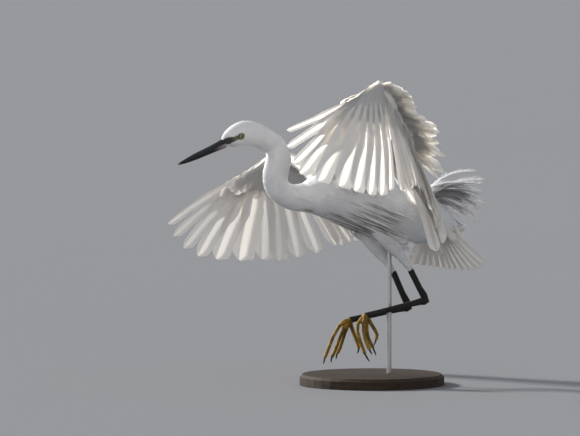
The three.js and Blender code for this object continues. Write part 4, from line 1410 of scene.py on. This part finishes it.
@dataclass
class Eyes:
    """Glass eyes and the lids round them."""

    lid_radius: float = 3.75 * MM
    lid_thickness: float = 1.05 * MM

    def build(self, lid_material: bpy.types.Material) -> None:
        """Builds both eyes with their lids."""
        for side, sign in ((Side.LEFT, 1), (Side.RIGHT, -1)):
            axis = unit(HEAD_LEFT * sign + np.array([0.0, 0.0, 0.06]))
            centre = EYE_MIDDLE + HEAD_LEFT * sign * EYE_OFFSET
            self._ball(side, centre, axis)
            self._lid(side, centre + axis * 3.35 * MM, axis, lid_material)

    def _ball(self, side: Side, centre: Array, axis: Array) -> None:
        """One eyeball, its pole at the pupil."""
        bpy.ops.object.select_all(action="DESELECT")
        bpy.ops.mesh.primitive_uv_sphere_add(segments=40, ring_count=24, radius=EYE_RADIUS)
        ball = bpy.context.object
        ball.name = ball.data.name = f"eyeball_{side.value}"
        turn = Vector(axis).to_track_quat("Z", "Y").to_matrix().to_4x4()
        ball.data.transform(Matrix.Translation(Vector(centre)) @ turn)
        bpy.ops.object.shade_smooth()
        finish = EyeGlass(f"eye_glass_{side.value}", tuple(centre), tuple(axis))
        dress(ball, finish.build(), [f"eye_{side.value}"])

    def _lid(self, side: Side, centre: Array, axis: Array, material: bpy.types.Material) -> None:
        """One ring of bare lid skin, a little longer than high."""
        bpy.ops.object.select_all(action="DESELECT")
        bpy.ops.mesh.primitive_torus_add(
            major_segments=48, minor_segments=12,
            major_radius=self.lid_radius, minor_radius=self.lid_thickness,
        )
        lid = bpy.context.object
        lid.name = lid.data.name = f"eyelid_{side.value}"
        forward = unit(BILL_TIP - BILL_BASE)
        forward = unit(forward - axis * float(np.dot(forward, axis)))
        up = np.cross(axis, forward)
        turn = Matrix([[forward[i], up[i], axis[i]] for i in range(3)]).to_4x4()
        oval = Matrix.Diagonal((1.12, 0.95, 1.0, 1.0))
        lid.data.transform(Matrix.Translation(Vector(centre)) @ turn @ oval)
        bpy.ops.object.shade_smooth()
        dress(lid, material)


@dataclass(frozen=True)
class Lamp:
    """One soft even light that falls from a place towards the bird, its disc `spread` degrees wide."""

    name: str
    place: Point
    spread: float
    power: float
    colour: Point


LAMPS = (
    Lamp("key", (-3.2, 1.7, 2.0), 7.0, 6.5, (1.0, 0.972, 0.93)),
    Lamp("fill", (-1.3, -3.6, 0.8), 90.0, 0.8, (1.0, 0.975, 0.93)),
)


@dataclass
class Stage:
    """Floor, lights, sky and camera."""

    width_at_bird: float = 0.841
    distance: float = 20.0
    elevation: float = math.radians(4)
    aim: Point = (-0.1189, 0.0, 0.24264)
    sky: Point = (0.92, 0.95, 1.0)
    sky_strength: float = 0.52
    floor_size: float = 120.0

    def build(self, floor_material: bpy.types.Material) -> None:
        """Builds everything round the bird."""
        self._floor(floor_material)
        for lamp in LAMPS:
            self._light(lamp)
        self._world()
        self._camera()

    def _floor(self, material: bpy.types.Material) -> None:
        """A plain floor, wide enough to fill the picture."""
        bpy.ops.object.select_all(action="DESELECT")
        bpy.ops.mesh.primitive_plane_add(size=self.floor_size)
        floor = bpy.context.object
        floor.name = floor.data.name = "floor"
        floor.data.materials.append(material)

    def _light(self, lamp: Lamp) -> None:
        """Adds one light, turned towards the bird."""
        data = bpy.data.lights.new(lamp.name, "SUN")
        data.angle = math.radians(lamp.spread)
        data.energy = lamp.power
        data.color = lamp.colour
        light = bpy.data.objects.new(lamp.name, data)
        light.location = lamp.place
        towards = Vector(self.aim) - Vector(lamp.place)
        light.rotation_euler = towards.to_track_quat("-Z", "Y").to_euler()
        bpy.context.scene.collection.objects.link(light)

    def _world(self) -> None:
        """An even grey sky."""
        world = bpy.data.worlds.new("studio")
        world.use_nodes = True
        background = world.node_tree.nodes["Background"]
        background.inputs["Color"].default_value = (*self.sky, 1.0)
        background.inputs["Strength"].default_value = self.sky_strength
        bpy.context.scene.world = world
        bpy.context.scene.view_settings.view_transform = "Standard"

    def _camera(self) -> None:
        """A long lens far off, as in the photograph."""
        data = bpy.data.cameras.new("camera")
        data.sensor_width = 36.0
        data.lens = data.sensor_width * self.distance / self.width_at_bird
        data.clip_end = 200.0
        camera = bpy.data.objects.new("camera", data)
        back = Vector((0.0, -math.cos(self.elevation), math.sin(self.elevation)))
        camera.location = Vector(self.aim) + back * self.distance
        camera.rotation_euler = (-back).to_track_quat("-Z", "Y").to_euler()
        bpy.context.scene.collection.objects.link(camera)
        bpy.context.scene.camera = camera


# The whole model


def patches(*rows: tuple[float, float, float, float]) -> list[Patch]:
    """Patches from rows of a place along the body and a length, half width and lift in millimetres."""
    return [Patch(start, *(size * MM for size in sizes)) for start, *sizes in rows]


HEAD_PATCHES = patches((0, 3.0, 0.5, 0.35), (0.4, 5.0, 0.7, 0.5), (1, 7, 0.9, 0.6))
NECK_PATCHES = patches((0, 7, 0.9, 0.6), (0.5, 10, 1.0, 0.8), (1, 14, 1.3, 0.9))
TRUNK_PATCHES = patches((0, 14, 1.4, 0.7), (0.5, 19, 1.7, 0.7), (1, 26, 2.2, 1.4))
THIGH_PATCHES = patches((0, 14, 1.6, 0.9), (0.7, 9, 1.1, 0.6), (1, 4, 0.7, 0.3))


def build_coats(skin: bpy.types.Object, materials: dict[str, bpy.types.Material]) -> None:
    """Builds the small feathers of the body and the plumes of breast and back."""
    coat = Coat(skin)
    body = BodyCoat(coat)
    down = materials["down"]
    body.build_stretch("head_coat", HEAD_STATIONS, HEAD_LEFT, 9000, HEAD_PATCHES, down, 3)
    body.build_stretch("neck_coat", NECK_STATIONS, BODY_LEFT, 12000, NECK_PATCHES, down, 2)
    body.build_stretch("trunk_coat", TORSO_STATIONS, BODY_LEFT, 15000, TRUNK_PATCHES, down, 1)
    for side in Side:
        name = f"thigh_coat_{side.value}"
        body.build_stretch(name, THIGHS[side], BODY_LEFT, 2600, THIGH_PATCHES, down, 0)
    BreastPlumes().build(coat, materials)
    Plumes().build(materials["down"])


def build_limbs() -> None:
    """Takes over the bill, legs, feet, claws and stand from the CAD, each with its finish."""
    upper = Horn("bill_horn_upper", (0.10, 0.11, 0.10), 0.012).build()
    lower = Horn("bill_horn_lower", (0.34, 0.27, 0.26), 0.030).build()
    leg = Scutes("leg_scutes", (0.004, 0.004, 0.004), (0.022, 0.022, 0.020), 330.0).build()
    foot = Scutes("foot_scutes", (0.06, 0.034, 0.006), (0.46, 0.27, 0.03), 420.0).build()
    claw = Horn("claw_horn", (0.02, 0.018, 0.015), 0.001).build()
    Refined("bill_upper", "bill", 0.45 * MM, 3).build(upper)
    Refined("bill_lower", "bill", 0.45 * MM, 3).build(lower)
    for side in Side:
        Refined(f"shin_{side.value}", "leg", 0.6 * MM, 6, 0.6 * MM).build(leg)
        Refined(f"tarsus_{side.value}", "leg", 0.6 * MM, 6, 0.6 * MM).build(leg)
        Refined(f"foot_{side.value}", "foot", 0.5 * MM, 3, 0.45 * MM).build(foot)
        for number in range(1, 5):
            Refined(f"claw_{side.value}_{number}", "claw", 0.25 * MM, 3).build(claw)
    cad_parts["stand_base"].data.materials.clear()
    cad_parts["stand_base"].data.materials.append(StainedWood().build())
    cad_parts["stand_rod"].data.materials.clear()
    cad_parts["stand_rod"].data.materials.append(BrushedSteel().build())


def main() -> None:
    """Builds every part in order and reports each."""
    logging.basicConfig(level=logging.INFO, format="%(message)s")
    materials = {
        "flight": Plumage(
            "flight_vanes", light=(0.97, 0.97, 0.97), shade=(0.90, 0.905, 0.92),
            through=0.78, barbs=420.0, relief=0.2, cover=0.7,
        ).build(),
        # The coverts' bluish tones are painted shade: the blue of shadow lit by the sky.
        "covert": Plumage(
            "covert_vanes", light=(0.94, 0.965, 1.0), shade=(0.82, 0.87, 0.96),
            through=0.8, barbs=300.0, relief=0.1,
        ).build(),
        "down": Plumage("body_feathers", through=0.2, barbs=200.0, relief=0.2).build(),
        # Painted shade: the dark grey-brown strands laid between the white breast plumes.
        "shade_strand": Plumage(
            "shaded_feathers", light=(0.44, 0.40, 0.33), shade=(0.27, 0.24, 0.19),
            through=0.1, barbs=200.0, relief=0.1,
        ).build(),
    }
    Stage().build(StudioFloor().build())
    LOG.info("stage built")
    skin = Flesh().build(BareSkin().build())
    LOG.info("skin built, %d points", len(skin.data.vertices))
    build_coats(skin, materials)
    LOG.info("coats built")
    for side in Side:
        wing = Wing(side)
        wing.build_flight(materials)
        wing.build_coverts(materials)
        LOG.info("%s wing built", side.value)
    Tail().build(materials)
    LOG.info("tail built")
    Eyes().build(Scutes("lid_skin", (0.05, 0.055, 0.05), (0.22, 0.24, 0.20), 900.0).build())
    build_limbs()
    LOG.info("bill, eyes, legs, feet and stand dressed")


if __name__ == "__main__":
    main()
